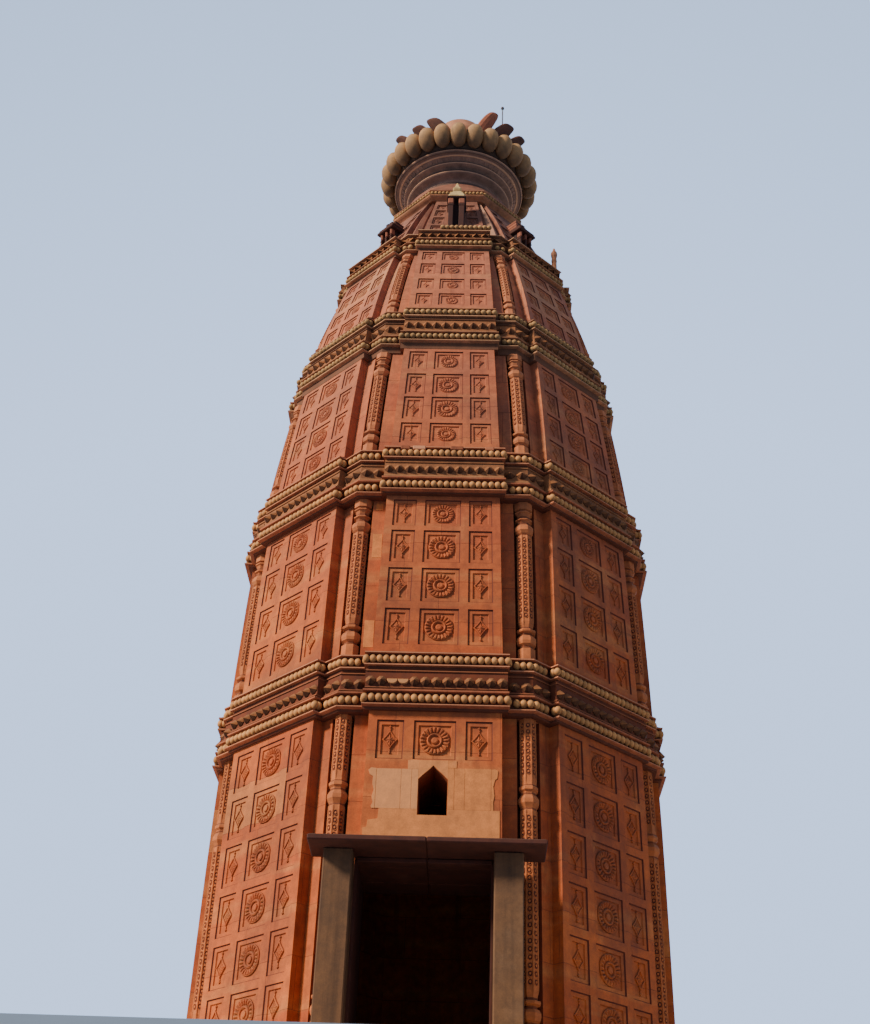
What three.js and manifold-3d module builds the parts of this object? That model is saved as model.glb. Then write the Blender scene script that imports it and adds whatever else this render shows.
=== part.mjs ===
// Octagonal curvilinear temple tower of red sandstone, about 22 m tall.
// Millimetres, +Z up, ground at z = 0, tower axis on the Z axis, doorway towards -Y.
// Face 0 is the front; faces are counted counter-clockwise seen from above.
import * as THREE from 'three';
import { mergeVertices } from 'three/addons/utils/BufferGeometryUtils.js';
import Module from 'manifold-3d';

const wasm = await Module();
wasm.setup();

const FACES = 8;
const EIGHTH = (2 * Math.PI) / FACES;
const HALF_EIGHTH = EIGHTH / 2;
const TAN = Math.tan(HALF_EIGHTH);
const COS = Math.cos(HALF_EIGHTH);
const SIN = Math.sin(HALF_EIGHTH);
const GAP = 0.3;

// Heights of the storeys: foot and top of each wall.
const PLINTH_TOP = 360;
const STAGES = [
  { foot: PLINTH_TOP, top: 5150, knots: [], proud: 200, notch: [207, 200], ring: 170 },
  { foot: 6180, top: 9190, knots: [7700], proud: 190, notch: [207, 200], ring: 170 },
  { foot: 10250, top: 12690, knots: [11500], proud: 170, notch: [190, 180], ring: 155 },
  { foot: 13820, top: 15790, knots: [14850], proud: 150, notch: [150, 140], ring: 125 },
];
const STAGE5 = { foot: 16360, top: 18240, knots: [16750, 17500], proud: 120, rib: 60, ribShare: 0.45 };

// Distance from the axis to a bay's face, the bay's half width and the hollow's inner face, by height.
const BATTER = [[0, 3790], [5150, 3720], [6180, 3686], [7700, 3630], [9190, 3557], [10250, 3468],
  [11500, 3325], [12690, 3154], [13820, 2959], [14850, 2705], [15790, 2410], [16750, 2030],
  [17500, 1690], [18240, 1300]];
const BAY_HALF = [[0, 1060], [5150, 1022], [6180, 1025], [9190, 958], [10250, 946], [12690, 833],
  [13820, 809], [15790, 706], [16750, 600], [18240, 435]];
const HOLLOW = [[0, 2300], [5150, 2300], [6180, 2280], [9190, 2200], [10250, 2120], [12690, 1900],
  [13820, 1720], [15790, 1330], [16750, 1080], [18240, 480], [18470, 430]];

// Cornices: heights and distances of their lower and upper bead rows (bay, core, bay half width).
const CORNICES = [
  { base: 5150, low: 5370, high: 6000, top: 6180, bayLow: 3785, bayHigh: 3790, coreLow: 3660,
    coreHigh: 3636, halfLow: 1121, halfHigh: 1126 },
  { base: 9190, low: 9400, high: 10040, top: 10250, bayLow: 3658, bayHigh: 3610, coreLow: 3514,
    coreHigh: 3468, halfLow: 1044, halfHigh: 1034 },
  { base: 12690, low: 12970, high: 13630, top: 13820, bayLow: 3180, bayHigh: 3086, coreLow: 3029,
    coreHigh: 2947, halfLow: 905, halfHigh: 847 },
  { base: 15790, low: 16005, high: 16440, top: 16360, bayLow: 2420, bayHigh: 2400, coreLow: 2275,
    coreHigh: 2255, halfLow: 740, halfHigh: 720 },
];
// Profiles of a cornice's courses: rise from the bead row, reach and half width beyond the row's line.
const SEAT = { reach: -25, spread: -15 };
const SLAB = { reach: 35, spread: 10 };
const LIP = { reach: 62, spread: 20 };
const LOW_SLAB_RISE = 110;
const HIGH_SLAB_DROP = 150;
const LOWER_PROFILE = [[-150, LIP], [-90, LIP], [-85, SEAT], [60, SEAT], [65, SLAB], [LOW_SLAB_RISE, SLAB]];
const UPPER_PROFILE = [[-HIGH_SLAB_DROP, SLAB], [-95, SLAB], [-90, SEAT], [60, SEAT], [65, SLAB], [120, SLAB]];

// What is left on top of the fourth cornice: bead blocks on the front and the back, pinnacles at bay ends.
const WORN_PROFILE = [[-HIGH_SLAB_DROP, SLAB], [-95, SLAB], [-80, SEAT]];
const BEAD_BLOCKS = [{ face: 0, left: -235, right: 715 }, { face: 4, left: -715, right: 715 }];
const BEAD_BLOCK_BACK = 2190;
const BEAD_BLOCK_TOP = 16500;
const PINNACLES = [[1, 1], [3, -1], [3, 1], [4, -1], [4, 1], [5, -1], [5, 1]];
const PINNACLE = { apothem: 2290, t: 670, radius: 70, top: 17050 };

// Aedicules on the slope of the fifth storey; two have lost their roofs, three faces have none.
const AEDICULES = [{ face: 0, whole: true }, { face: 3, whole: true }, { face: 4, whole: true },
  { face: 5, whole: true }, { face: 1, whole: false }, { face: 7, whole: false }];
const AEDICULE = { foot: 16450, baseTop: 16640, front: 2100, panel: 2020, back: 1600, half: 175, post: 60,
  head: 17570, brokenHead: 17150, shift: 18 };

// Porch and doorway: the doorway stands a little left of the axis.
const DOOR = { left: -1060, right: 900, head: 2780 };
const WINDOW = { half: 217, sill: 3480, shoulder: 4050, apex: 4260 };
const POST = { width: 420, front: 4220, left: -1090, right: 920, height: 2800 };
const CANOPY = { left: -1720, right: 1660, front: 4560, bottom: 2800, top: 2880 };

// Crown.
const BEADS5 = { base: 18240, lipFoot: 18330, top: 18470, core: 1300, lip: 1400, seat: 1365 };
const SKIRT = { apothem: 1400, top: 18880, radius: 1180 };
const LOBES = { count: 28, bottom: 19690 };
// Petals: angle from the front, half width, lean outwards in degrees and length.
const PETALS = [[25, 170, 19, 630], [43, 180, 35, 490], [58, 130, 41, 460], [-20, 170, 28, 490],
  [-36, 140, 38, 420], [-55, 120, 40, 440], [88, 130, 38, 300], [118, 160, 35, 440], [141, 120, 38, 280],
  [167, 150, 35, 380], [-96, 150, 35, 400], [-128, 110, 40, 260], [-160, 160, 32, 470]];

const SLOTS = {
  wall: ['red_sandstone', 0xa85a3c],
  ashlar: ['buff_ashlar', 0xc98f60],
  trim: ['ochre_sandstone', 0x9b6b45],
  moss: ['weathered_sandstone', 0x6f5136],
  crown: ['lobe_sandstone', 0xa87f50],
  post: ['grey_buff_stone', 0x86705a],
  slab: ['dark_slab_stone', 0x4c3630],
  floor: ['floor_stone', 0x7a6252],
  dome: ['dome_plaster', 0xc98560],
  iron: ['rod_iron', 0x50504c],
};
const materials = Object.fromEntries(Object.entries(SLOTS).map(([key, [name, color]]) =>
  [key, new THREE.MeshStandardMaterial({ name, color, roughness: 0.9, flatShading: true })]));

const group = new THREE.Group();
group.name = 'octagonal_temple_tower';

/** Linear reading of a table of [height, value] rows. */
function read(table, z) {
  if (z <= table[0][0]) return table[0][1];
  for (let i = 1; i < table.length; i++) {
    const [z1, v1] = table[i];
    if (z <= z1) {
      const [z0, v0] = table[i - 1];
      return v0 + ((v1 - v0) * (z - z0)) / (z1 - z0);
    }
  }
  return table[table.length - 1][1];
}

/** Plan point of a face: apothem along its outward direction and t along the face. */
function onFace(face, apothem, t) {
  const turn = face * EIGHTH;
  return [apothem * Math.sin(turn) + t * Math.cos(turn), -apothem * Math.cos(turn) + t * Math.sin(turn)];
}

/** Outline of one face with a raised bay, without niches. */
function plainFace(face, bay, core, half) {
  return [onFace(face, core, -core * TAN), onFace(face, core, -half), onFace(face, bay, -half),
    onFace(face, bay, half), onFace(face, core, half)];
}

/** Outline of one face with a raised bay and half a corner niche at each end. */
function nicheFace(face, bay, core, half, notch) {
  const c = core * TAN - notch[0];
  return [onFace(face, core - notch[1], -c), onFace(face, core, -c), onFace(face, core, -half),
    onFace(face, bay, -half), onFace(face, bay, half), onFace(face, core, half),
    onFace(face, core, c), onFace(face, core - notch[1], c)];
}

/** Outline of one face with a raised bay and half a raised rib at each corner. */
function ribFace(face, bay, core, half, rib, share) {
  const c = half + (core * TAN - half) * share;
  return [onFace(face, core + rib, -(core + rib) * TAN), onFace(face, core + rib, -c),
    onFace(face, core, -c), onFace(face, core, -half), onFace(face, bay, -half),
    onFace(face, bay, half), onFace(face, core, half), onFace(face, core, c),
    onFace(face, core + rib, c)];
}

/** Corners of the hollow's octagon, from the corner before face `from` to the one after `to`. */
function hollowCorners(z, from, to) {
  const radius = read(HOLLOW, z) / COS;
  const points = [];
  for (let i = from; i <= to + 1; i++) {
    const turn = (i - 0.5) * EIGHTH;
    points.push([radius * Math.sin(turn), -radius * Math.cos(turn)]);
  }
  return points;
}

/** Closed geometry from positions and an index. */
function closed(positions, index) {
  const geometry = new THREE.BufferGeometry();
  geometry.setAttribute('position', new THREE.Float32BufferAttribute(positions, 3));
  geometry.setIndex(index);
  return geometry;
}

/** Caps of a plan outline with an optional hole: triangles over the joined list of points. */
function capTriangles(outer, hole) {
  const contour = outer.map(([x, y]) => new THREE.Vector2(x, y));
  const holes = hole.length ? [hole.map(([x, y]) => new THREE.Vector2(x, y))] : [];
  return THREE.ShapeUtils.triangulateShape(contour, holes);
}

/** Solid between plan outlines stacked by height; the hole, if any, runs the other way inside. */
function loft(levels) {
  const positions = [];
  const index = [];
  const n = levels[0].outer.length;
  const m = levels[0].hole.length;
  const step = n + m;
  for (const level of levels) {
    for (const [x, y] of [...level.outer, ...level.hole]) positions.push(x, y, level.z);
  }
  for (let l = 0; l + 1 < levels.length; l++) {
    const a = l * step;
    const b = a + step;
    for (let i = 0; i < n; i++) {
      const j = (i + 1) % n;
      index.push(a + i, a + j, b + j, a + i, b + j, b + i);
    }
    for (let i = 0; i < m; i++) {
      const j = (i + 1) % m;
      index.push(a + n + i, b + n + j, a + n + j, a + n + i, b + n + i, b + n + j);
    }
  }
  const top = (levels.length - 1) * step;
  for (const [p, q, r] of capTriangles(levels[0].outer, levels[0].hole)) index.push(p, r, q);
  const last = levels[levels.length - 1];
  for (const [p, q, r] of capTriangles(last.outer, last.hole)) index.push(top + p, top + q, top + r);
  return closed(positions, index);
}

/** Full ring with bays, from levels of [z, bay, core, half]. */
function bayRing(levels) {
  return loft(levels.map(([z, bay, core, half]) => {
    const outer = [];
    for (let face = 0; face < FACES; face++) outer.push(...plainFace(face, bay, core, half));
    return { z, outer, hole: hollowCorners(z, 0, FACES - 2) };
  }));
}

/** Point at a joint between faces, moved by half the gap into the piece. */
function jointPoint(corner, radius, side) {
  const turn = (corner - 0.5) * EIGHTH;
  const shift = (side * GAP) / 2;
  return [radius * Math.sin(turn) + shift * Math.cos(turn), -radius * Math.cos(turn) + shift * Math.sin(turn)];
}

/** Wall of a stage over the faces from..to, with corner niches, cut at the niches' middles. */
function wallSector(stage, from, to) {
  const heights = [stage.foot, ...stage.knots, stage.top];
  return loft(heights.map((z) => {
    const bay = read(BATTER, z);
    const core = bay - stage.proud;
    const half = read(BAY_HALF, z);
    const back = core / COS - stage.notch[0] * SIN - stage.notch[1] * COS;
    const outer = [jointPoint(from, back, 1)];
    for (let face = from; face <= to; face++) outer.push(...nicheFace(face, bay, core, half, stage.notch));
    outer.push(jointPoint(to + 1, back, -1));
    const corners = hollowCorners(z, from, to);
    const inner = read(HOLLOW, z) / COS;
    corners[0] = jointPoint(from, inner, 1);
    corners[corners.length - 1] = jointPoint(to + 1, inner, -1);
    return { z, outer: [...outer, ...corners.reverse()], hole: [] };
  }));
}

/** Box between two corners. */
function box(x0, x1, y0, y1, z0, z1) {
  const geometry = new THREE.BoxGeometry(x1 - x0, y1 - y0, z1 - z0);
  geometry.translate((x0 + x1) / 2, (y0 + y1) / 2, (z0 + z1) / 2);
  return geometry;
}

/** Solid of manifold from a closed geometry. */
function solid(geometry) {
  const bare = geometry.clone();
  bare.deleteAttribute('normal');
  bare.deleteAttribute('uv');
  const merged = mergeVertices(bare, 1e-3);
  return new wasm.Manifold(new wasm.Mesh({
    numProp: 3,
    vertProperties: new Float32Array(merged.attributes.position.array),
    triVerts: new Uint32Array(merged.index.array),
  }));
}

/** Geometry of a manifold solid. */
function geometryOf(body) {
  const mesh = body.getMesh();
  return closed(Array.from(mesh.vertProperties), Array.from(mesh.triVerts));
}

/** Turned profile of [radius, z] rows, going up on the outside, with +Z up and joined vertices. */
function turned(profile, sides) {
  const bare = new THREE.LatheGeometry(profile.map(([r, z]) => new THREE.Vector2(r, z)), sides);
  bare.rotateX(Math.PI / 2);
  bare.deleteAttribute('normal');
  bare.deleteAttribute('uv');
  return mergeVertices(bare, 1e-3);
}

/** Names a mesh and adds it to the part. */
function add(name, geometry, slot) {
  const bare = geometry.clone();
  bare.deleteAttribute('normal');
  bare.deleteAttribute('uv');
  const merged = mergeVertices(bare, 1e-3);
  merged.computeVertexNormals();
  const mesh = new THREE.Mesh(merged, materials[slot]);
  mesh.name = name;
  group.add(mesh);
}

/** Line of a corner: distance from the axis to the colonette's middle at height z. */
function colonetteRadius(stage, z) {
  const core = read(BATTER, Math.max(z, stage.foot)) - stage.proud;
  return core / COS - stage.notch[0] * SIN - stage.notch[1] * COS + stage.ring + GAP;
}

/** Engaged colonette in a corner niche: five faces of an octagon and a flat back, leaning with the wall. */
function colonette(stage, corner, rows) {
  const turn = (corner - 0.5) * EIGHTH;
  const backHalf = stage.notch[0] * COS - stage.notch[1] * SIN - GAP;
  const place = (centre, out, side) => {
    const reach = centre + out;
    return [reach * Math.sin(turn) + side * Math.cos(turn), -reach * Math.cos(turn) + side * Math.sin(turn)];
  };
  return loft(rows.map(([z, radius]) => {
    const centre = colonetteRadius(stage, z);
    const outer = [place(centre, -stage.ring, -backHalf)];
    for (const degrees of [-90, -45, 0, 45, 90]) {
      const angle = THREE.MathUtils.degToRad(degrees);
      outer.push(place(centre, radius * Math.cos(angle), radius * Math.sin(angle)));
    }
    outer.push(place(centre, -stage.ring, backHalf));
    return { z, outer, hole: [] };
  }));
}

/** Rows of a colonette from the foot to the cornice, with knots where the wall bends. */
function colonetteRows(stage, foot, scale) {
  const s = scale;
  const top = stage.top - GAP;
  const shaft = 148 * s;
  const wide = stage.ring;
  return [[foot - 40, shaft], [foot, shaft], [foot + 225 * s, 125 * s],
    [foot + 290 * s, wide], [foot + 410 * s, wide], [foot + 480 * s, 122 * s], [foot + 690 * s, shaft],
    ...stage.knots.map((z) => [z, shaft]), [top - 660 * s, shaft], [top - 640 * s, 120 * s],
    [top - 595 * s, wide], [top - 460 * s, wide], [top - 410 * s, 122 * s], [top, 166 * s]];
}

/** Stage 1 colonette: two carved shafts with a bulb between them. */
function firstColonetteRows(stage, foot) {
  const shaft = 148;
  const wide = stage.ring;
  return [[foot - 40, shaft], [foot, shaft], [foot + 225, 125], [foot + 290, wide],
    [foot + 410, wide], [foot + 500, shaft], [3660, shaft], [3690, 122], [3750, wide], [3880, wide],
    [3940, 122], [4180, shaft], [stage.top - GAP, shaft]];
}

// Floor, with a tongue through the doorway.
const floorHollow = read(HOLLOW, 0) - GAP;
const floorCorners = hollowCorners(0, 0, FACES - 2).map(([x, y]) => [x * floorHollow / read(HOLLOW, 0),
  y * floorHollow / read(HOLLOW, 0)]);
const sillFront = read(BATTER, 0) + 20;
const floorOutline = [floorCorners[0], [DOOR.left + GAP, -floorHollow], [DOOR.left + GAP, -sillFront],
  [DOOR.right - GAP, -sillFront], [DOOR.right - GAP, -floorHollow], ...floorCorners.slice(1)];
const FLOOR_TOP = 80;
add('floor', loft([{ z: 0, outer: floorOutline, hole: [] }, { z: FLOOR_TOP, outer: floorOutline, hole: [] }]),
  'floor');

// Base course with the doorway's gap and the stage 1 colonettes.
const plinthProfile = [[0, 110], [200, 110], [220, 70], [330, 70], [PLINTH_TOP, 10]];
const plinth = solid(bayRing(plinthProfile.map(([z, out]) => {
  const bay = read(BATTER, z) + out;
  return [z, bay, bay - STAGES[0].proud, read(BAY_HALF, z) + out];
})));
const doorCut = solid(box(DOOR.left, DOOR.right, -5000, -1500, -100, DOOR.head));
const postSpans = [['porch_post_left', POST.left - POST.width, POST.left],
  ['porch_post_right', POST.right, POST.right + POST.width]];
const postBack = POST.front - POST.width;
let baseCourse = plinth.subtract(doorCut);
for (const [, x0, x1] of postSpans) {
  baseCourse = baseCourse.subtract(solid(box(x0 - GAP, x1 + GAP, -POST.front, -postBack + GAP, -100, 1000)));
}
for (let corner = 0; corner < FACES; corner++) {
  baseCourse = baseCourse.add(solid(colonette(STAGES[0], corner,
    firstColonetteRows(STAGES[0], PLINTH_TOP))));
}
add('base_course_and_colonettes_1', geometryOf(baseCourse), 'wall');

// Stage 1 front wall: jambs, and the wall over the doorway with its pointed window.
const front = solid(wallSector(STAGES[0], 0, 0)).subtract(doorCut);
const windowOutline = [[-WINDOW.half, WINDOW.sill], [WINDOW.half, WINDOW.sill],
  [WINDOW.half, WINDOW.shoulder], [0, WINDOW.apex], [-WINDOW.half, WINDOW.shoulder]];
const windowShape = new THREE.Shape(windowOutline.map(([x, z]) => new THREE.Vector2(x, z)));
const windowPrism = new THREE.ExtrudeGeometry(windowShape, { depth: 3500, bevelEnabled: false });
windowPrism.rotateX(Math.PI / 2);
windowPrism.translate(0, -1500, 0);
const FAR = 6000;
add('wall_1_over_doorway', geometryOf(front.subtract(solid(windowPrism))
  .intersect(solid(box(-FAR, FAR, -FAR, FAR, DOOR.head, FAR)))), 'ashlar');
add('wall_1_left_jamb', geometryOf(front.intersect(solid(box(-FAR, 0, -FAR, FAR, 0, DOOR.head)))), 'wall');
add('wall_1_right_jamb', geometryOf(front.intersect(solid(box(0, FAR, -FAR, FAR, 0, DOOR.head)))), 'wall');
add('wall_1_right', wallSector(STAGES[0], 1, 2), 'wall');
add('wall_1_back', wallSector(STAGES[0], 3, 5), 'wall');
add('wall_1_left', geometryOf(solid(wallSector(STAGES[0], 6, 7)).subtract(doorCut)), 'wall');

// Walls of stages 2 to 4 in halves.
for (const number of [2, 3, 4]) {
  const stage = STAGES[number - 1];
  add(`wall_${number}_right`, wallSector(stage, 0, 3), 'wall');
  add(`wall_${number}_left`, wallSector(stage, 4, 7), 'wall');
}

/** Aedicule on the front's side: base, posts before a back panel, eave and, where whole, a pointed roof. */
function aedicule(whole) {
  const { foot, baseTop, front, panel, back, half, post, shift } = AEDICULE;
  const head = whole ? AEDICULE.head : AEDICULE.brokenHead;
  const eave = whole ? { half: 215, reach: front + 30, height: 50 } : { half: 240, reach: front + 40, height: 130 };
  const parts = [box(-half - 15, half + 15, -front - 10, -back, foot, baseTop),
    box(-half, half, -panel, -back, baseTop - 10, head + 10),
    box(-eave.half, eave.half, -eave.reach, -back, head, head + eave.height)];
  for (const middle of [post / 2 - half, 0, half - post / 2]) {
    parts.push(box(middle - post / 2, middle + post / 2, -front, -back, baseTop - 10, head + 10));
  }
  if (whole) {
    const roofMiddle = -1860;
    const roofRows = [[40, 145], [150, 130], [270, 85], [330, 45], [380, 65], [450, 45], [590, 12]];
    parts.push(loft(roofRows.map(([rise, h]) => ({
      z: head + rise,
      outer: [[-h, roofMiddle - h], [h, roofMiddle - h], [h, roofMiddle + h], [-h, roofMiddle + h]],
      hole: [],
    }))));
  }
  return parts.map((part) => part.translate(shift, 0, 0));
}

// Stage 5 wall with its aedicules.
let fifthWall = solid(loft([STAGE5.foot, ...STAGE5.knots, STAGE5.top].map((z) => {
  const bay = read(BATTER, z);
  const outer = [];
  for (let face = 0; face < FACES; face++) {
    outer.push(...ribFace(face, bay, bay - STAGE5.proud, read(BAY_HALF, z), STAGE5.rib, STAGE5.ribShare));
  }
  return { z, outer, hole: hollowCorners(z, 0, FACES - 2) };
})));
for (const { face, whole } of AEDICULES) {
  for (const part of aedicule(whole)) fifthWall = fifthWall.add(solid(part.rotateZ(face * EIGHTH)));
}
add('wall_5_and_aedicules', geometryOf(fifthWall), 'wall');

/** What stands on the fourth cornice: blocks of the upper bead row and pinnacles. */
function fourthCorniceTop(cornice) {
  const parts = BEAD_BLOCKS.map(({ face, left, right }) =>
    box(left, right, -cornice.bayHigh - SEAT.reach, -BEAD_BLOCK_BACK, cornice.top - 10, BEAD_BLOCK_TOP)
      .rotateZ(face * EIGHTH));
  for (const [face, side] of PINNACLES) {
    const { apothem, t, radius, top } = PINNACLE;
    const foot = cornice.top - 10;
    const pinnacle = turned([[0, foot], [radius, foot], [radius * 0.8, foot + 120], [radius * 0.8, top - 260],
      [radius, top - 200], [radius, top - 130], [radius * 0.3, top], [0, top]], FACES);
    parts.push(pinnacle.translate(side * t, -apothem, 0).rotateZ(face * EIGHTH));
  }
  return parts;
}

// Cornices in three courses; the top course carries what stands on it.
CORNICES.forEach((c, i) => {
  const number = i + 1;
  const stage = STAGES[i];
  const slot = i < 2 ? 'trim' : 'moss';
  const low = ([rise, line]) => [c.low + rise, c.bayLow + line.reach, c.coreLow + line.reach,
    c.halfLow + line.spread];
  const high = ([rise, line]) => [c.high + rise, c.bayHigh + line.reach, c.coreHigh + line.reach,
    c.halfHigh + line.spread];
  const below = read(BATTER, c.base);
  add(`cornice_${number}_lower_course`, bayRing([
    [c.base, below, below - stage.proud, read(BAY_HALF, c.base)], ...LOWER_PROFILE.map(low)]), slot);
  add(`cornice_${number}_jewel_band`, bayRing([low([LOW_SLAB_RISE, SEAT]), high([-HIGH_SLAB_DROP, SEAT])]), slot);
  if (i < 3) {
    const next = STAGES[i + 1];
    const above = read(BATTER, c.top) + 10;
    let course = solid(bayRing([...UPPER_PROFILE.map(high),
      [c.top, above, above - next.proud, read(BAY_HALF, c.top) + 10]]));
    const scale = next.ring / STAGES[1].ring;
    for (let corner = 0; corner < FACES; corner++) {
      course = course.add(solid(colonette(next, corner, colonetteRows(next, c.top, scale))));
    }
    add(`cornice_${number}_top_course_and_colonettes_${number + 1}`, geometryOf(course), slot);
  } else {
    let course = solid(bayRing(WORN_PROFILE.map(high)));
    for (const part of fourthCorniceTop(c)) course = course.add(solid(part));
    add('cornice_4_top_course', geometryOf(course), slot);
  }
});

/** Corners of a regular octagon with faces square to the tower's. */
function octagon(apothem) {
  const points = [];
  for (let i = 0; i < FACES; i++) points.push(onFace(i, apothem, -apothem * TAN));
  return points;
}

// Octagonal bead course under the crown.
const BEADS5_SLAB = 30;
add('bead_course_5', loft([[BEADS5.base, BEADS5.core], [BEADS5.lipFoot, BEADS5.lip],
  [BEADS5.lipFoot + 15, BEADS5.lip], [BEADS5.lipFoot + 20, BEADS5.seat],
  [BEADS5.top - BEADS5_SLAB - 5, BEADS5.seat], [BEADS5.top - BEADS5_SLAB, SKIRT.apothem + 10],
  [BEADS5.top, SKIRT.apothem + 10]]
  .map(([z, apothem]) => ({ z, outer: octagon(apothem), hole: hollowCorners(z, 0, FACES - 2) }))), 'moss');

// Round skirt on the octagon, closing the hollow.
const SKIRT_SIDES = 32;
/** Outline whose reach is blended from an octagon to a circle. */
function blended(apothem, radius, share) {
  const points = [];
  for (let i = 0; i < SKIRT_SIDES; i++) {
    const angle = (i / SKIRT_SIDES) * 2 * Math.PI - HALF_EIGHTH;
    const local = ((angle + HALF_EIGHTH) % EIGHTH) - HALF_EIGHTH;
    const flat = apothem / Math.cos(local);
    const reach = flat * (1 - share) + radius * share;
    points.push([reach * Math.sin(angle), -reach * Math.cos(angle)]);
  }
  return points;
}
const skirtRows = [[BEADS5.top, 0], [BEADS5.top + 50, 0.15], [BEADS5.top + 220, 0.6], [SKIRT.top, 1]];
add('skirt_roof', loft(skirtRows.map(([z, share]) => (
  { z, outer: blended(SKIRT.apothem, SKIRT.radius, share), hole: [] }))), 'wall');

// Neck with ring mouldings.
add('neck', turned([[0, 18880], [1020, 18880], [1010, 19220], [1150, 19270], [1160, 19330], [1080, 19360],
  [1100, 19430], [1230, 19460], [1235, 19510], [1200, 19530], [1320, 19595], [1450, 19625],
  [1450, 19672], [1400, LOBES.bottom], [0, LOBES.bottom]], 28), 'wall');

// Ring of lobes.
const LOBE_POINTS = 4;
const lobeRows = [[1460, LOBES.bottom, 0], [1600, 19655, 0.5], [1740, 19730, 0.9], [1800, 19860, 1],
  [1795, 20000, 1], [1730, 20160, 0.9], [1620, 20250, 0.4], [1480, 20270, 0]];
const LOBE_GROOVE = 170;
add('lobe_ring', loft(lobeRows.map(([radius, z, depth]) => {
  const outer = [];
  const count = LOBES.count * LOBE_POINTS;
  for (let i = 0; i < count; i++) {
    const angle = (i / count) * 2 * Math.PI;
    const phase = ((i % LOBE_POINTS) / LOBE_POINTS) * 2 - (i % LOBE_POINTS > LOBE_POINTS / 2 ? 2 : 0);
    const groove = LOBE_GROOVE * depth * (1 - Math.sqrt(Math.max(0, 1 - phase * phase)));
    outer.push([(radius - groove) * Math.sin(angle), -(radius - groove) * Math.cos(angle)]);
  }
  return { z, outer, hole: [] };
})), 'crown');

// Broken lotus petals on their ring.
const PETAL_RING_TOP = 20340;
let petals = solid(turned([[1180, 20270], [1460, 20270], [1420, PETAL_RING_TOP], [1180, PETAL_RING_TOP],
  [1180, 20270]], 28));
for (const [degrees, halfWidth, lean, length] of PETALS) {
  const rows = [[0, 0.8, 75], [0.3, 1, 80], [0.65, 0.95, 65], [0.88, 0.7, 50], [1, 0.35, 25]];
  const petal = loft(rows.map(([share, width, depth]) => {
    const outer = [];
    for (let k = 0; k < FACES; k++) {
      const angle = k * EIGHTH + HALF_EIGHTH;
      outer.push([halfWidth * width * Math.sin(angle), -depth * Math.cos(angle)]);
    }
    return { z: share * length, outer, hole: [] };
  }));
  petal.rotateX(THREE.MathUtils.degToRad(lean));
  petal.translate(0, -1370, PETAL_RING_TOP - 50);
  petal.rotateZ(THREE.MathUtils.degToRad(degrees));
  petals = petals.add(solid(petal));
}
petals = petals.intersect(solid(box(-FAR, FAR, -FAR, FAR, 20270, 25000)));
add('petal_ring', geometryOf(petals), 'crown');

// Bulb-shaped cap dome on its round pedestal, and lightning rod.
add('cap_dome', turned([[0, 20270], [1178, 20270], [1165, 20390], [1090, 20460], [860, 20520], [700, 20590],
  [620, 20700], [612, 20800], [635, 20960], [655, 21150], [638, 21350], [578, 21550], [462, 21700],
  [280, 21810], [120, 21850], [0, 21860]], 28), 'dome');
const ROD = { radius: 14, angle: 52, distance: 1240, foot: PETAL_RING_TOP, top: 21790, ball: 42 };
const rod = turned([[0, ROD.foot], [ROD.radius, ROD.foot], [ROD.radius, ROD.top - 100],
  [ROD.ball, ROD.top - 62], [ROD.ball, ROD.top - 38], [ROD.radius, ROD.top], [0, ROD.top]], 10);
rod.translate(0, -ROD.distance, 0);
rod.rotateZ(THREE.MathUtils.degToRad(ROD.angle));
add('lightning_rod', rod, 'iron');

// Porch.
const wallFace = (z) => read(BATTER, z) + GAP;
const canopyBack = wallFace(CANOPY.bottom);
add('porch_canopy', box(CANOPY.left, CANOPY.right, -CANOPY.front, -canopyBack, CANOPY.bottom, CANOPY.top), 'slab');
for (const [name, x0, x1] of postSpans) {
  add(name, box(x0, x1, -POST.front, -postBack, 0, POST.height), 'post');
}

export default group;
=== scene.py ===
"""Looks of an octagonal red sandstone temple tower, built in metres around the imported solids.

+Z is up, the doorway faces -Y and the tower's axis is the Z axis. Faces are counted from the
front, counter-clockwise seen from above, and corner c lies between face c - 1 and face c.
"""

import logging
import math
from collections.abc import Callable, Iterable, Sequence
from dataclasses import dataclass, replace
from enum import Enum
from typing import NamedTuple

import bpy
import numpy as np
from mathutils import Matrix, Vector

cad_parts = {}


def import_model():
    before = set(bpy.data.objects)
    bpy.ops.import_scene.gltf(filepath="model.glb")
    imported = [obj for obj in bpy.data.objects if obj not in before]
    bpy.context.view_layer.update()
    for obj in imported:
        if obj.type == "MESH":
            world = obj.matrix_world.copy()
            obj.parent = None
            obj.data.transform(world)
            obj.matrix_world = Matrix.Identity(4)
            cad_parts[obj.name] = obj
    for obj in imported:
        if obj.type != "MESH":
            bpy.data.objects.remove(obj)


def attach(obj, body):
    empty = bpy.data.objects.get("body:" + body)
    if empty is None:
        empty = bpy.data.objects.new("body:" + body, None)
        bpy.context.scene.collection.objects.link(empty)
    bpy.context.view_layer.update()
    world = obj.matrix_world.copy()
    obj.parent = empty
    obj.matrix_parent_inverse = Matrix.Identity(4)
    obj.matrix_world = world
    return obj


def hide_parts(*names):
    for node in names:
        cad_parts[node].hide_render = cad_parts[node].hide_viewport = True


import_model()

LOG = logging.getLogger("temple_tower")
FACES = 8
EIGHTH = 2.0 * math.pi / FACES
TAN = math.tan(EIGHTH / 2.0)
COS = math.cos(EIGHTH / 2.0)
SIN = math.sin(EIGHTH / 2.0)
# Gap between parts that rest on each other.
GAP = 0.0003

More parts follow.
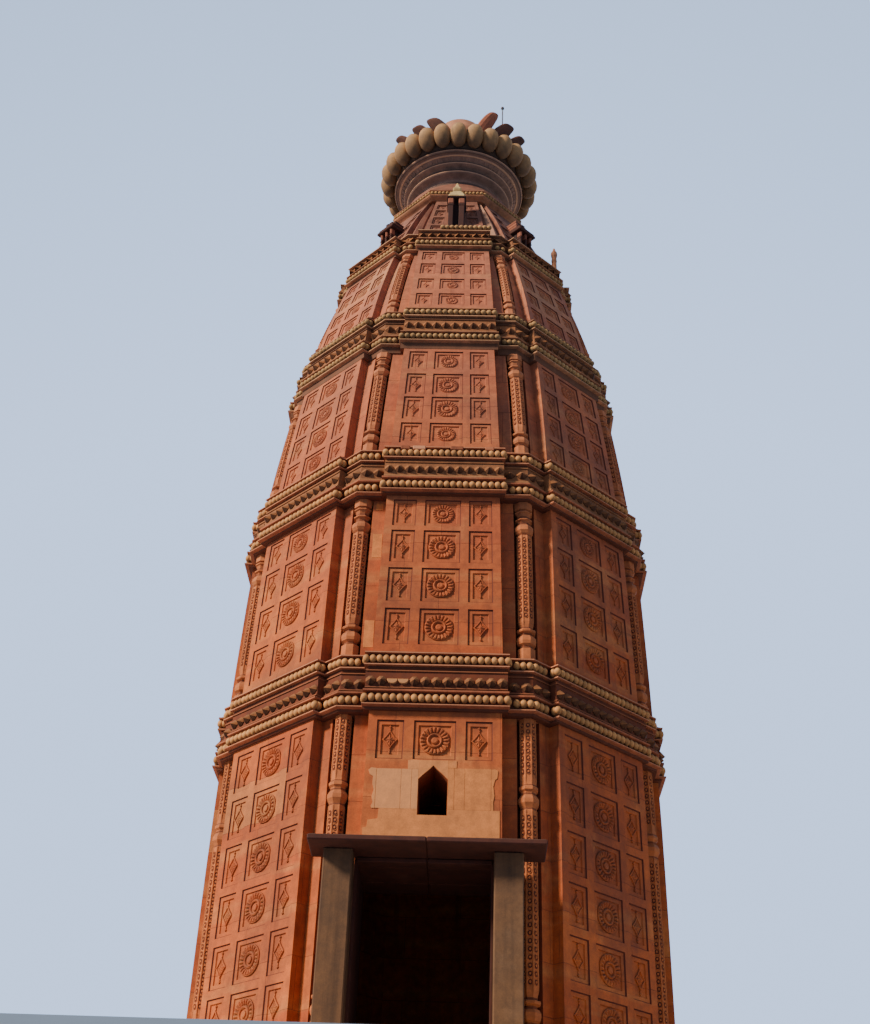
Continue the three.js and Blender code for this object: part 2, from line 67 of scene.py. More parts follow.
Rgb = tuple[int, int, int]
Point = tuple[float, float]
Outline = list[Point]
Face = tuple[int, ...]
Socket = bpy.types.NodeSocket
Piece = bpy.types.Object
Table = Sequence[Point]
Placing = Callable[[np.ndarray], np.ndarray]
Skipped = frozenset | set[tuple[int, int]]
Skin = tuple[np.ndarray, list[Face]]
Limits = tuple[float, float, float, float]

# Height, and the distance from the axis to the faces of the raised bays.
BATTER: Table = (
    (0.0, 3.79), (5.15, 3.72), (6.18, 3.686), (7.7, 3.63), (9.19, 3.557), (10.25, 3.468),
    (11.5, 3.325), (12.69, 3.154), (13.82, 2.959), (14.85, 2.705), (15.79, 2.41), (16.75, 2.03),
    (17.5, 1.69), (18.24, 1.3),
)
# Height, and half the width of a raised bay.
BAY_HALF: Table = (
    (0.0, 1.06), (5.15, 1.022), (6.18, 1.025), (9.19, 0.958), (10.25, 0.946), (12.69, 0.833),
    (13.82, 0.809), (15.79, 0.706), (16.75, 0.6), (18.24, 0.435),
)
# Height, and the distance from the axis to the walls' inner faces.
HOLLOW: Table = (
    (0.0, 2.3), (5.15, 2.3), (6.18, 2.28), (9.19, 2.2), (10.25, 2.12), (12.69, 1.9),
    (13.82, 1.72), (15.79, 1.33), (16.75, 1.08), (18.24, 0.48), (18.47, 0.43),
)
DOOR_LEFT = -1.06
DOOR_RIGHT = 0.9
DOOR_HEAD = 2.78
PLINTH_TOP = 0.36
# Tones of faces: above zero towards pale stone, below zero towards the stain colour. Some tones are wear and
# fresh stone; the four below are painted shade and a painted highlight.
# Painted shade on the sides of the corner niches.
NICHE_PAINTED_SHADE = -0.7
# Painted shade in recesses: the seats behind the cornice balls and the backs of the aedicules.
RECESS_PAINTED_SHADE = -0.75
# Painted highlight on the outermost edges of the cornice rings.
EDGE_PAINTED_HIGHLIGHT = 0.4
# Painted shade in grooves: the dark line round each coffer and the sunk rings on the colonettes.
GROOVE_PAINTED_SHADE = -1.0


def read(table: Table, z: float) -> float:
    """Linear reading of a table of heights and values."""
    return float(np.interp(z, [row[0] for row in table], [row[1] for row in table]))


def curved(table: Table, z: float) -> float:
    """Smooth reading of a table of heights and values.

    Args:
        table: Rows of height and value, going up.
        z: Height that is asked for.

    Returns:
        The value on a smooth curve through the table's rows.
    """
    heights = np.array([row[0] for row in table])
    values = np.array([row[1] for row in table])
    z = min(max(z, heights[0]), heights[-1])
    slopes = np.gradient(values, heights)
    i = int(min(np.searchsorted(heights, z, side="right") - 1, len(heights) - 2))
    step = heights[i + 1] - heights[i]
    s = (z - heights[i]) / step
    lower = (2 * s ** 3 - 3 * s ** 2 + 1) * values[i] + (s ** 3 - 2 * s ** 2 + s) * step * slopes[i]
    upper = (3 * s ** 2 - 2 * s ** 3) * values[i + 1] + (s ** 3 - s ** 2) * step * slopes[i + 1]
    return float(lower + upper)


def bay(z: float) -> float:
    """Distance from the tower's axis to a raised bay's face at height z."""
    return curved(BATTER, z)


def lean(z: float) -> float:
    """How far the bay's face moves outward for each metre upward at height z."""
    return (curved(BATTER, z + 0.05) - curved(BATTER, z - 0.05)) / 0.1


def plan(face: float, apothem: float, t: float) -> Point:
    """Plan point of a face from its distance to the axis and the place t along the face."""
    turn = face * EIGHTH
    return (apothem * math.sin(turn) + t * math.cos(turn), -apothem * math.cos(turn) + t * math.sin(turn))


@dataclass(frozen=True)
class Seat:
    """A place on the tower with its own directions."""

    origin: np.ndarray
    right: np.ndarray
    up: np.ndarray
    out: np.ndarray

    def wall(self, points: np.ndarray) -> np.ndarray:
        """Carries points given as right, up and out of the wall into the tower's frame."""
        return self.origin + points @ np.array([self.right, self.up, self.out])

    def stand(self, points: np.ndarray) -> np.ndarray:
        """Carries points given as right, inward and up into the tower's frame."""
        return self.origin + points @ np.array([self.right, -self.out, self.up])


def seat_on(face: float, apothem: float, t: float, z: float, slope: float = 0.0) -> Seat:
    """Seat on a face of the tower.

    Args:
        face: Number of the face; a half lies at a corner.
        apothem: Distance from the tower's axis to the plane of the seat.
        t: Place along the face, to the right seen from outside.
        z: Height.
        slope: Outward movement of the surface for each metre upward.

    Returns:
        The seat, leaning with the surface.
    """
    turn = face * EIGHTH
    x, y = plan(face, apothem, t)
    right = np.array([math.cos(turn), math.sin(turn), 0.0])
    level = np.array([math.sin(turn), -math.cos(turn), 0.0])
    up = np.array([0.0, 0.0, 1.0]) + slope * level
    up = up / np.linalg.norm(up)
    return Seat(np.array([x, y, z]), right, up, np.cross(right, up))


def before(face: float) -> Placing:
    """Carries points given as right, inward from the axis and up to a face of the tower."""
    return seat_on(face, 0.0, 0.0, 0.0).stand


@dataclass(frozen=True)
class Shape:
    """A small form that is stamped many times."""

    points: np.ndarray
    faces: tuple[Face, ...]
    smooth: bool = False


def circle(radius: float, z: float, count: int) -> np.ndarray:
    """Ring of points at a height, counter-clockwise from above."""
    angles = np.arange(count) / count * 2.0 * math.pi
    return np.stack([radius * np.cos(angles), radius * np.sin(angles), np.full(count, z)], axis=1)


def rectangle(x0: float, x1: float, y0: float, y1: float, z: float, cut: float = 0.0) -> np.ndarray:
    """Ring of a rectangle at a height.

    Args:
        x0: Left side.
        x1: Right side.
        y0: Near side.
        y1: Far side.
        z: Height.
        cut: How much is cut off its corners.

    Returns:
        Four points, or eight where the corners are cut.
    """
    if cut <= 0.0:
        return np.array([(x0, y0, z), (x1, y0, z), (x1, y1, z), (x0, y1, z)])
    return np.array([
        (x0 + cut, y0, z), (x1 - cut, y0, z), (x1, y0 + cut, z), (x1, y1 - cut, z),
        (x1 - cut, y1, z), (x0 + cut, y1, z), (x0, y1 - cut, z), (x0, y0 + cut, z),
    ])


def lofted(rings: Sequence[np.ndarray], smooth: bool = False, foot: bool = True, head: bool = True) -> Shape:
    """Skin over a stack of rings, each of the same count or a single point.

    Args:
        rings: Rings of points, counter-clockwise seen from the side that the stack rises to.
        smooth: Whether the skin is shaded smooth.
        foot: Whether the first ring is closed.
        head: Whether the last ring is closed.

    Returns:
        The shape.
    """
    faces: list[Face] = []
    start = 0
    for lower, upper in zip(rings, rings[1:]):
        n, m = len(lower), len(upper)
        a, b = start, start + n
        for i in range(max(n, m)):
            j = (i + 1) % max(n, m)
            if n == 1:
                faces.append((a, b + j, b + i))
            elif m == 1:
                faces.append((a + i, a + j, b))
            else:
                faces.append((a + i, a + j, b + j, b + i))
        start = b
    if foot and len(rings[0]) > 1:
        faces.append(tuple(reversed(range(len(rings[0])))))
    if head and len(rings[-1]) > 1:
        faces.append(tuple(range(start, start + len(rings[-1]))))
    return Shape(np.concatenate(rings), tuple(faces), smooth)


def block(x0: float, x1: float, y0: float, y1: float, z0: float, z1: float, cut: float = 0.012) -> Shape:
    """Dressed block of stone between six planes, with its edges worn off by `cut`."""
    return lofted([
        rectangle(x0 + cut, x1 - cut, y0 + cut, y1 - cut, z0, cut), rectangle(x0, x1, y0, y1, z0 + cut, cut),
        rectangle(x0, x1, y0, y1, z1 - cut, cut), rectangle(x0 + cut, x1 - cut, y0 + cut, y1 - cut, z1, cut),
    ])


def turned(profile: Iterable[Point], sides: int, smooth: bool = False) -> Shape:
    """Turned form from rows of radius and height, going up on the outside."""
    rings = [circle(r, z, sides) if r > 0.0 else np.array([(0.0, 0.0, z)]) for r, z in profile]
    return lofted(rings, smooth)


def ball(radius: float, sides: int = 12, rows: int = 6) -> Shape:
    """Carved stone ball."""
    angles = [(-0.5 + i / rows) * math.pi for i in range(rows + 1)]
    return turned([(radius * math.cos(a) if 0 < i < rows else 0.0, radius * math.sin(a))
                   for i, a in enumerate(angles)], sides, smooth=True)


class Tree:
    """Adds and links the nodes of one material."""

    def __init__(self, name: str) -> None:
        """Starts an empty material.

        Args:
            name: Name of the material.
        """
        self.material = bpy.data.materials.new(name)
        self.material.use_nodes = True
        self.nodes = self.material.node_tree.nodes
        self.links = self.material.node_tree.links
        self.nodes.clear()

    def add(self, kind: str, inputs: dict | None = None, **settings: object) -> bpy.types.Node:
        """Adds a node.

        Args:
            kind: Type of the node.
            inputs: Values or sockets for its inputs, by name or number.
            **settings: Properties of the node.

        Returns:
            The node.
        """
        node = self.nodes.new(kind)
        for key, value in settings.items():
            setattr(node, key, value)
        for key, value in (inputs or {}).items():
            if isinstance(value, bpy.types.NodeSocket):
                self.links.new(value, node.inputs[key])
            else:
                node.inputs[key].default_value = value
        return node

    def noise(self, place: Socket, scale: float, detail: float = 4.0,
              rough: float = 0.55) -> Socket:
        """Value of a noise at a number of waves per metre."""
        return self.add("ShaderNodeTexNoise", {"Vector": place, "Scale": scale, "Detail": detail,
                                               "Roughness": rough}).outputs["Fac"]

    def span(self, value: Socket, low: float, high: float, to_low: float = 0.0,
             to_high: float = 1.0) -> Socket:
        """Carries a value from one span to another, held at its ends."""
        return self.add("ShaderNodeMapRange", {"Value": value, "From Min": low, "From Max": high,
                                               "To Min": to_low, "To Max": to_high}).outputs["Result"]

    def maths(self, operation: str, a: object, b: object = 0.5) -> Socket:
        """One step of arithmetic."""
        return self.add("ShaderNodeMath", {0: a, 1: b}, operation=operation).outputs[0]

    def mix(self, share: object, a: object, b: object, blend: str = "MIX") -> Socket:
        """Mixes two colours by a share."""
        return self.add("ShaderNodeMix", {0: share, 6: a, 7: b}, data_type="RGBA",
                        blend_type=blend).outputs[2]

    def speckle(self, shade: Socket, value: Socket) -> Socket:
        """Darkens or lightens a colour by a value round one."""
        grey = self.add("ShaderNodeCombineColor", {0: value, 1: value, 2: value}).outputs[0]
        return self.mix(1.0, shade, grey, "MULTIPLY")

    def axes(self, place: Socket) -> dict[str, Socket]:
        """The three parts of a place or a direction, by their letters."""
        return dict(self.add("ShaderNodeSeparateXYZ", {0: place}).outputs.items())

    def stretched(self, place: Socket, across: float,
                  upward: float) -> Socket:
        """Place with its own scales across and upward."""
        scale = (across, across, upward)
        return self.add("ShaderNodeMapping", {"Vector": place, "Scale": scale}).outputs["Vector"]

    def bump(self, height: Socket, strength: float, distance: float,
             normal: Socket | None = None) -> Socket:
        """Normal bent by a height, on top of an earlier one.

        Args:
            height: Height of the surface.
            strength: Strength of the bump.
            distance: Depth in metres.
            normal: The earlier normal, if there is one.

        Returns:
            The bent normal.
        """
        inputs = {"Height": height, "Strength": strength, "Distance": distance}
        if normal is not None:
            inputs["Normal"] = normal
        return self.add("ShaderNodeBump", inputs).outputs["Normal"]


def colour(rgb: Rgb) -> tuple[float, float, float, float]:
    """Linear colour of a screen colour."""
    parts = [v / 255.0 for v in rgb]
    return tuple(v / 12.92 if v <= 0.04045 else ((v + 0.055) / 1.055) ** 2.4 for v in parts) + (1.0,)


VIOLET_PATCH: Rgb = (116, 62, 44)
HIGH_DUST: Rgb = (182, 134, 110)
MOSS: Rgb = (62, 50, 34)
LEDGE_DIRT: Rgb = (74, 58, 44)


@dataclass(frozen=True)
class Laying:
    """What the courses of a wall give to its finish."""

    lot: Socket
    joints: Socket | None = None
    bedding: Socket | float = 0.0
    violet: Socket | float = 0.0
    normal: Socket | None = None


@dataclass(frozen=True)
class Stone:
    """A finish of carved or dressed stone, with courses where `course` isn't zero."""

    name: str
    slot: str
    base: Rgb
    warm: Rgb
    pale: Rgb
    stain: Rgb
    course: float = 0.0
    block: float = 1.1
    joint: float = 0.007
    pale_share: float = 0.0
    stain_share: float = 0.35
    streaks: float = 0.35
    moss: float = 0.0
    pits: float = 0.5
    dust: float = 0.0
    # Darkening of downward-facing surfaces: partly smoke grime, partly painted shade.
    soot_and_shade: float = 0.0
    bedding: float = 0.3
    roughness: float = 0.86

    def material(self) -> bpy.types.Material:
        """The material, made once."""
        return bpy.data.materials.get(self.name) or self.make()

    def make(self) -> bpy.types.Material:
        """Builds the nodes: stone, dirt, the faces' own tones (wear, painted shade and painted highlights),
        grain and bump.

        Returns:
            The material.
        """
        tree = Tree(self.name)
        place = tree.add("ShaderNodeTexCoord").outputs["Object"]
        mottle = tree.noise(place, 7.0, 8.0, 0.62)
        grain = tree.noise(place, 55.0, 4.0, 0.6)
        laying = self.lay(tree, place) if self.course > 0.0 else Laying(tree.noise(place, 1.6, 2.0))
        shade = self.weather(tree, place, self.quarry(tree, place, laying))
        shade = tree.speckle(shade, tree.span(mottle, 0.3, 0.72, 0.72, 1.16))
        shade = tree.speckle(shade, tree.span(grain, 0.35, 0.7, 0.88, 1.08))
        if laying.joints is not None:
            shade = tree.mix(tree.maths("MULTIPLY", laying.joints, 0.6), shade, colour(self.stain))
        # The faces' tones: below zero they paint shade into niches, recesses and grooves, above zero a
        # highlight on edges; other tones are wear and fresh stone.
        tone = tree.add("ShaderNodeAttribute", attribute_name="tone").outputs["Fac"]
        shade = tree.mix(tree.span(tone, 0.0, 1.0), shade, colour(self.pale))
        shade = tree.mix(tree.span(tone, 0.0, -1.0), shade, colour(self.stain))
        normal = tree.bump(mottle, 0.35 * self.pits, 0.03, laying.normal)
        skin = tree.add("ShaderNodeBsdfPrincipled", {
            "Base Color": shade, "Normal": tree.bump(grain, 0.3 * self.pits, 0.006, normal),
            "Roughness": tree.span(mottle, 0.3, 0.7, self.roughness - 0.1, self.roughness + 0.08)})
        skin.inputs["Specular IOR Level"].default_value = 0.25
        tree.add("ShaderNodeOutputMaterial", {"Surface": skin.outputs[0]})
        return tree.material

    def lay(self, tree: Tree, place: Socket) -> Laying:
        """Courses of blocks with wandering joints, layers in the stone and violet patches.

        Args:
            tree: The material's nodes.
            place: Place on the piece, in metres.

        Returns:
            What the courses give.
        """
        courses = tree.add("ShaderNodeUVMap", uv_map="courses").outputs["UV"]
        wander = tree.add("ShaderNodeTexNoise", {"Vector": place, "Scale": 1.7}).outputs["Color"]
        shift = tree.add("ShaderNodeVectorMath", {0: wander, 1: (0.022, 0.022, 0.0)}, operation="MULTIPLY")
        line = tree.add("ShaderNodeVectorMath", {0: courses, 1: shift.outputs[0]}, operation="ADD")
        bricks = tree.add("ShaderNodeTexBrick", {
            "Vector": line.outputs[0], "Color1": (0.0, 0.0, 0.0, 1.0), "Color2": (1.0, 1.0, 1.0, 1.0),
            "Mortar": (0.5, 0.5, 0.5, 1.0), "Scale": 1.0, "Mortar Size": self.joint,
            "Mortar Smooth": 0.3, "Brick Width": self.block, "Row Height": self.course}, offset=0.37)
        lot, joints = bricks.outputs["Color"], bricks.outputs["Fac"]
        layers = tree.noise(tree.stretched(place, 0.3, 2.4), 1.0, 3.0)
        cloud = tree.maths("ADD", tree.noise(place, 0.6, 2.0), tree.maths("MULTIPLY", lot, 0.12))
        return Laying(lot, joints, tree.span(layers, 0.54, 0.66, 0.0, self.bedding),
                      tree.span(cloud, 0.58, 0.68, 0.0, 0.4),
                      tree.bump(tree.maths("SUBTRACT", 1.0, joints), 0.7, 0.012))

    def quarry(self, tree: Tree, place: Socket, laying: Laying) -> Socket:
        """Colour of the clean stone: its drift, layers, patches, paler blocks and salts.

        Args:
            tree: The material's nodes.
            place: Place on the piece, in metres.
            laying: What the courses give.

        Returns:
            The colour.
        """
        pale = colour(self.pale)
        drift = tree.noise(place, 0.45, 3.0)
        warmth = tree.span(tree.maths("ADD", tree.maths("MULTIPLY", laying.lot, 0.4), drift), 0.35, 1.05)
        shade = tree.mix(warmth, colour(self.base), colour(self.warm))
        shade = tree.mix(laying.bedding, shade, pale)
        shade = tree.mix(laying.violet, shade, colour(VIOLET_PATCH))
        chosen = tree.span(laying.lot, 1.0 - self.pale_share, 1.0 - self.pale_share + 0.02)
        shade = tree.mix(tree.maths("MULTIPLY", chosen, tree.span(drift, 0.3, 0.6, 0.15, 0.45)), shade, pale)
        return tree.mix(tree.span(tree.noise(place, 1.3, 6.0, 0.6), 0.6, 0.78, 0.0, 0.4), shade, pale)

    def weather(self, tree: Tree, place: Socket,
                shade: Socket) -> Socket:
        """Stains, streaks, dust high up, smoke grime and painted shade on downward-facing surfaces, moss and
        dirt on ledges.

        Args:
            tree: The material's nodes.
            place: Place on the piece, in metres.
            shade: Colour of the clean stone.

        Returns:
            The colour with its dirt.
        """
        stain = colour(self.stain)
        stains = tree.noise(place, 0.9, 7.0, 0.62)
        shade = tree.mix(tree.span(stains, 0.46, 0.72, 0.0, self.stain_share), shade, stain)
        runs = tree.noise(tree.stretched(place, 4.5, 0.3), 1.0, 6.0, 0.6)
        shade = tree.mix(tree.span(runs, 0.5, 0.72, 0.0, self.streaks), shade, stain)
        upward = tree.axes(tree.add("ShaderNodeNewGeometry").outputs["Normal"])["Z"]
        ledge = tree.span(upward, 0.25, 0.8)
        if self.dust > 0.0:
            high = tree.span(tree.axes(place)["Z"], 7.0, 17.0, 0.0, self.dust)
            shade = tree.mix(high, shade, colour(HIGH_DUST))
        # Downward-facing surfaces are darkened: partly smoke grime, partly painted shade.
        if self.soot_and_shade > 0.0:
            shade = tree.mix(tree.span(upward, 0.1, -0.7, 0.0, self.soot_and_shade), shade, stain)
        if self.moss > 0.0:
            growth = tree.noise(place, 2.4, 6.0, 0.65)
            shade = tree.mix(tree.span(growth, 0.38, 0.62, 0.0, self.moss), shade, colour(MOSS))
            ledge = tree.maths("MULTIPLY", ledge, 0.8)
        return tree.mix(tree.maths("MULTIPLY", ledge, 0.55), shade, colour(LEDGE_DIRT))


@dataclass(frozen=True)
class Iron:
    """Dull weathered iron with rust."""

    name: str = "weathered_iron"
    slot: str = "rod_iron"

    def material(self) -> bpy.types.Material:
        """The material, made once."""
        return bpy.data.materials.get(self.name) or self.make()

    def make(self) -> bpy.types.Material:
        """Builds the nodes: grey metal under patches of rust.

        Returns:
            The material.
        """
        tree = Tree(self.name)
        place = tree.add("ShaderNodeTexCoord").outputs["Object"]
        rust = tree.span(tree.noise(place, 18.0, 6.0), 0.45, 0.62)
        shade = tree.mix(rust, colour((92, 92, 88)), colour((104, 66, 44)))
        skin = tree.add("ShaderNodeBsdfPrincipled", {
            "Base Color": shade, "Roughness": tree.span(rust, 0.0, 1.0, 0.45, 0.9),
            "Normal": tree.bump(tree.noise(place, 60.0, 4.0), 0.4, 0.003)})
        skin.inputs["Metallic"].default_value = 0.6
        tree.add("ShaderNodeOutputMaterial", {"Surface": skin.outputs[0]})
        return tree.material


WALL_STONE = Stone(
    "red_wall_courses", "red_sandstone",
    base=(172, 77, 38), warm=(198, 101, 48), pale=(216, 142, 80), stain=(98, 46, 32),
    course=0.75, block=1.6, joint=0.004, stain_share=0.3, dust=0.36, pale_share=0.06,
)
CARVED_STONE = Stone(
    "red_carved_stone", "red_sandstone",
    base=(176, 98, 56), warm=(202, 124, 70), pale=(220, 160, 104), stain=(88, 46, 32),
    dust=0.3,
)
SHAFT_STONE = Stone(
    "red_shaft_stone", "red_sandstone",
    base=(184, 96, 52), warm=(208, 120, 66), pale=(224, 150, 92), stain=(90, 44, 30),
    dust=0.2, stain_share=0.4,
)
TRIM_STONE = Stone(
    "red_trim", "ochre_sandstone",
    base=(160, 84, 52), warm=(184, 104, 66), pale=(214, 146, 104), stain=(66, 30, 18),
    stain_share=0.5,
)
OCHRE_STONE = Stone(
    "ochre_carved_stone", "ochre_sandstone",
    base=(208, 138, 78), warm=(226, 156, 90), pale=(238, 180, 116), stain=(92, 52, 30),
    stain_share=0.3, soot_and_shade=0.45,
)
WORN_TRIM = Stone(
    "worn_trim", "weathered_sandstone",
    base=(178, 110, 74), warm=(202, 132, 90), pale=(222, 166, 118), stain=(84, 50, 34),
    stain_share=0.45, moss=0.35,
)
WORN_OCHRE = Stone(
    "worn_ochre", "weathered_sandstone",
    base=(200, 142, 84), warm=(218, 162, 98), pale=(234, 184, 122), stain=(92, 64, 42),
    stain_share=0.4, moss=0.3, soot_and_shade=0.4,
)
BAND_STONE = Stone(
    "red_band_ground", "ochre_sandstone",
    base=(110, 52, 28), warm=(126, 62, 34), pale=(176, 106, 66), stain=(60, 28, 16),
    stain_share=0.5,
)
BAND_OCHRE = Stone(
    "ochre_band_ground", "ochre_sandstone",
    base=(144, 86, 50), warm=(164, 102, 60), pale=(206, 142, 90), stain=(74, 42, 26),
    stain_share=0.5,
)
BOSS_STONE = Stone(
    "boss_stone", "ochre_sandstone",
    base=(152, 90, 48), warm=(174, 106, 58), pale=(216, 146, 90), stain=(64, 36, 22),
    stain_share=0.45, soot_and_shade=0.85,
)
UPPER_STONE = Stone(
    "upper_wall_stone", "red_sandstone",
    base=(140, 82, 60), warm=(162, 100, 74), pale=(198, 152, 118), stain=(78, 46, 36),
    stain_share=0.6, streaks=0.55,
)
PALE_STONE = Stone(
    "pale_roof_stone", "red_sandstone",
    base=(206, 168, 108), warm=(220, 180, 120), pale=(234, 202, 150), stain=(146, 104, 70),
    stain_share=0.25,
)
LOBE_STONE = Stone(
    "lobe_stone", "lobe_sandstone",
    base=(180, 130, 82), warm=(202, 150, 96), pale=(216, 166, 116), stain=(66, 47, 38),
    pits=0.8, soot_and_shade=0.75,
)
PETAL_STONE = Stone(
    "petal_stone", "lobe_sandstone",
    base=(110, 66, 50), warm=(132, 82, 60), pale=(168, 116, 84), stain=(56, 38, 32),
    pits=0.8, soot_and_shade=0.5,
)
FRESH_PETAL = Stone(
    "red_petal_stone", "lobe_sandstone",
    base=(180, 100, 70), warm=(196, 116, 80), pale=(212, 146, 108), stain=(100, 56, 42),
    pits=0.8, soot_and_shade=0.4,
)
NECK_STONE = Stone(
    "neck_stone", "red_sandstone",
    base=(148, 108, 88), warm=(172, 128, 104), pale=(218, 160, 120), stain=(76, 56, 48),
    stain_share=0.45, soot_and_shade=0.3,
)
NICHE_STONE = Stone(
    "niche_stone", "red_sandstone",
    base=(70, 38, 28), warm=(86, 48, 36), pale=(180, 104, 74), stain=(42, 26, 22),
    stain_share=0.4,
)
BUFF_STONE = Stone(
    "repair_ashlar", "buff_ashlar",
    base=(206, 120, 62), warm=(212, 128, 68), pale=(220, 154, 104), stain=(158, 86, 50),
    stain_share=0.2, streaks=0.2,
)
POST_STONE = Stone(
    "post_stone", "grey_buff_stone",
    base=(102, 68, 44), warm=(116, 80, 52), pale=(146, 108, 78), stain=(58, 40, 28),
    streaks=0.6,
)
SLAB_STONE = Stone(
    "slab_stone", "dark_slab_stone",
    base=(76, 38, 27), warm=(92, 48, 34), pale=(128, 80, 60), stain=(44, 25, 20),
    stain_share=0.5,
)
PAVING = Stone(
    "paving", "floor_stone",
    base=(118, 94, 80), warm=(136, 106, 88), pale=(160, 130, 110), stain=(78, 60, 50),
    course=0.6, block=0.9, joint=0.012, streaks=0.0, pale_share=0.06,
)
PLASTER = Stone(
    "dome_render", "dome_plaster",
    base=(186, 118, 84), warm=(204, 136, 96), pale=(220, 164, 124), stain=(122, 78, 58),
    pits=0.4, stain_share=0.3,
)
IRON = Iron()


def gather(items: bpy.types.bpy_prop_collection, name: str, width: int = 1,
           kind: type = float) -> np.ndarray:
    """Reads one property of all items of a mesh.

    Args:
        items: The mesh's polygons, loops or vertices.
        name: Name of the property.
        width: How many numbers it has.
        kind: Kind of the numbers.

    Returns:
        A row for each item, or one number where it has only one.
    """
    values = np.empty(len(items) * width, dtype=kind)
    items.foreach_get(name, values)
    return values.reshape(-1, width) if width > 1 else values


class Relief:
    """Gathers the points and faces of one piece in the tower's frame."""

    LEVEL_ENOUGH = 0.75
    SHIFT_PER_FACE = 3.7

    def __init__(self) -> None:
        """Starts with nothing in it."""
        self.points: list[np.ndarray] = []
        self.faces: list[Face] = []
        self.tones: list[float] = []
        self.smooth: list[bool] = []
        self.count = 0

    def put(self, points: np.ndarray, faces: Iterable[Face],
            tone: float | Sequence[float] = 0.0, smooth: bool = False) -> None:
        """Adds points and the faces between them.

        Args:
            points: Points in the tower's frame.
            faces: Faces as numbers of those points.
            tone: Tone of all the faces, or of each.
            smooth: Whether the faces are shaded smooth.
        """
        moved = [tuple(i + self.count for i in face) for face in faces]
        self.points.append(np.asarray(points, dtype=float))
        self.count += len(points)
        self.faces.extend(moved)
        self.tones.extend(np.broadcast_to(tone, len(moved)).tolist())
        self.smooth.extend([smooth] * len(moved))

    def stamp(self, shape: Shape, placing: Placing | None = None, scale: float = 1.0,
              tone: float = 0.0) -> None:
        """Adds a shape, scaled and carried to its place."""
        points = shape.points * scale
        self.put(placing(points) if placing else points, shape.faces, tone, shape.smooth)

    def piece(self, name: str, finish: Stone | Iron, *nodes: str, flat: bool = False) -> Piece:
        """Makes the object, dresses it and hides the nodes of the frame that it replaces.

        Args:
            name: Name of the piece.
            finish: Its finish.
            *nodes: Nodes of the frame that it replaces.
            flat: Whether the courses are laid out seen from above.

        Returns:
            The object.
        """
        mesh = bpy.data.meshes.new(name)
        mesh.from_pydata(np.concatenate(self.points).tolist(), [], self.faces)
        mesh.polygons.foreach_set("use_smooth", self.smooth)
        mesh.attributes.new("tone", "FLOAT", "FACE").data.foreach_set("value", self.tones)
        self.lay_courses(mesh, flat)
        mesh.materials.append(finish.material())
        mesh.update()
        made = bpy.data.objects.new(name, mesh)
        bpy.context.scene.collection.objects.link(made)
        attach(made, "root")
        if nodes:
            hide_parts(*nodes)
        return made

    def lay_courses(self, mesh: bpy.types.Mesh, flat: bool) -> None:
        """Writes a map in metres: along the tower's face and up it, or seen from above.

        Args:
            mesh: Mesh that gets the map.
            flat: Whether it is laid out seen from above.
        """
        centres = gather(mesh.polygons, "center", 3)
        normals = gather(mesh.polygons, "normal", 3)
        corners = gather(mesh.polygons, "loop_total", kind=np.int32)
        face = np.round(np.arctan2(centres[:, 0], -centres[:, 1]) / EIGHTH)
        turn = face * EIGHTH
        along = np.abs(normals[:, 0] * np.cos(turn) + normals[:, 1] * np.sin(turn))
        outward = np.abs(normals[:, 0] * np.sin(turn) - normals[:, 1] * np.cos(turn))
        upward = np.abs(normals[:, 2])
        side = np.repeat((along > outward) & (along > upward), corners)
        top = np.repeat(upward > self.LEVEL_ENOUGH, corners)
        turn = np.repeat(turn, corners)
        x, y, z = gather(mesh.vertices, "co", 3)[gather(mesh.loops, "vertex_index", kind=np.int32)].T
        t = x * np.cos(turn) + y * np.sin(turn)
        a = x * np.sin(turn) - y * np.cos(turn)
        u = np.where(side, a, t) + self.SHIFT_PER_FACE * np.repeat(face, corners)
        v = np.where(top, a, z)
        if flat:
            u, v = x, y
        layer = mesh.uv_layers.new(name="courses")
        layer.data.foreach_set("uv", np.stack([u, v], axis=1).ravel())


def lone(shape: Shape, name: str, finish: Stone | Iron, node: str, placing: Placing | None = None) -> Piece:
    """Makes a piece of one shape.

    Args:
        shape: The shape.
        name: Name of the piece.
        finish: Its finish.
        node: Node that it replaces.
        placing: Carries it to its place.

    Returns:
        The piece.
    """
    relief = Relief()
    relief.stamp(shape, placing)
    return relief.piece(name, finish, node)


class Ornament(Enum):
    """What a coffer holds."""

    ROSETTE = "rosette"
    LOZENGE = "lozenge"


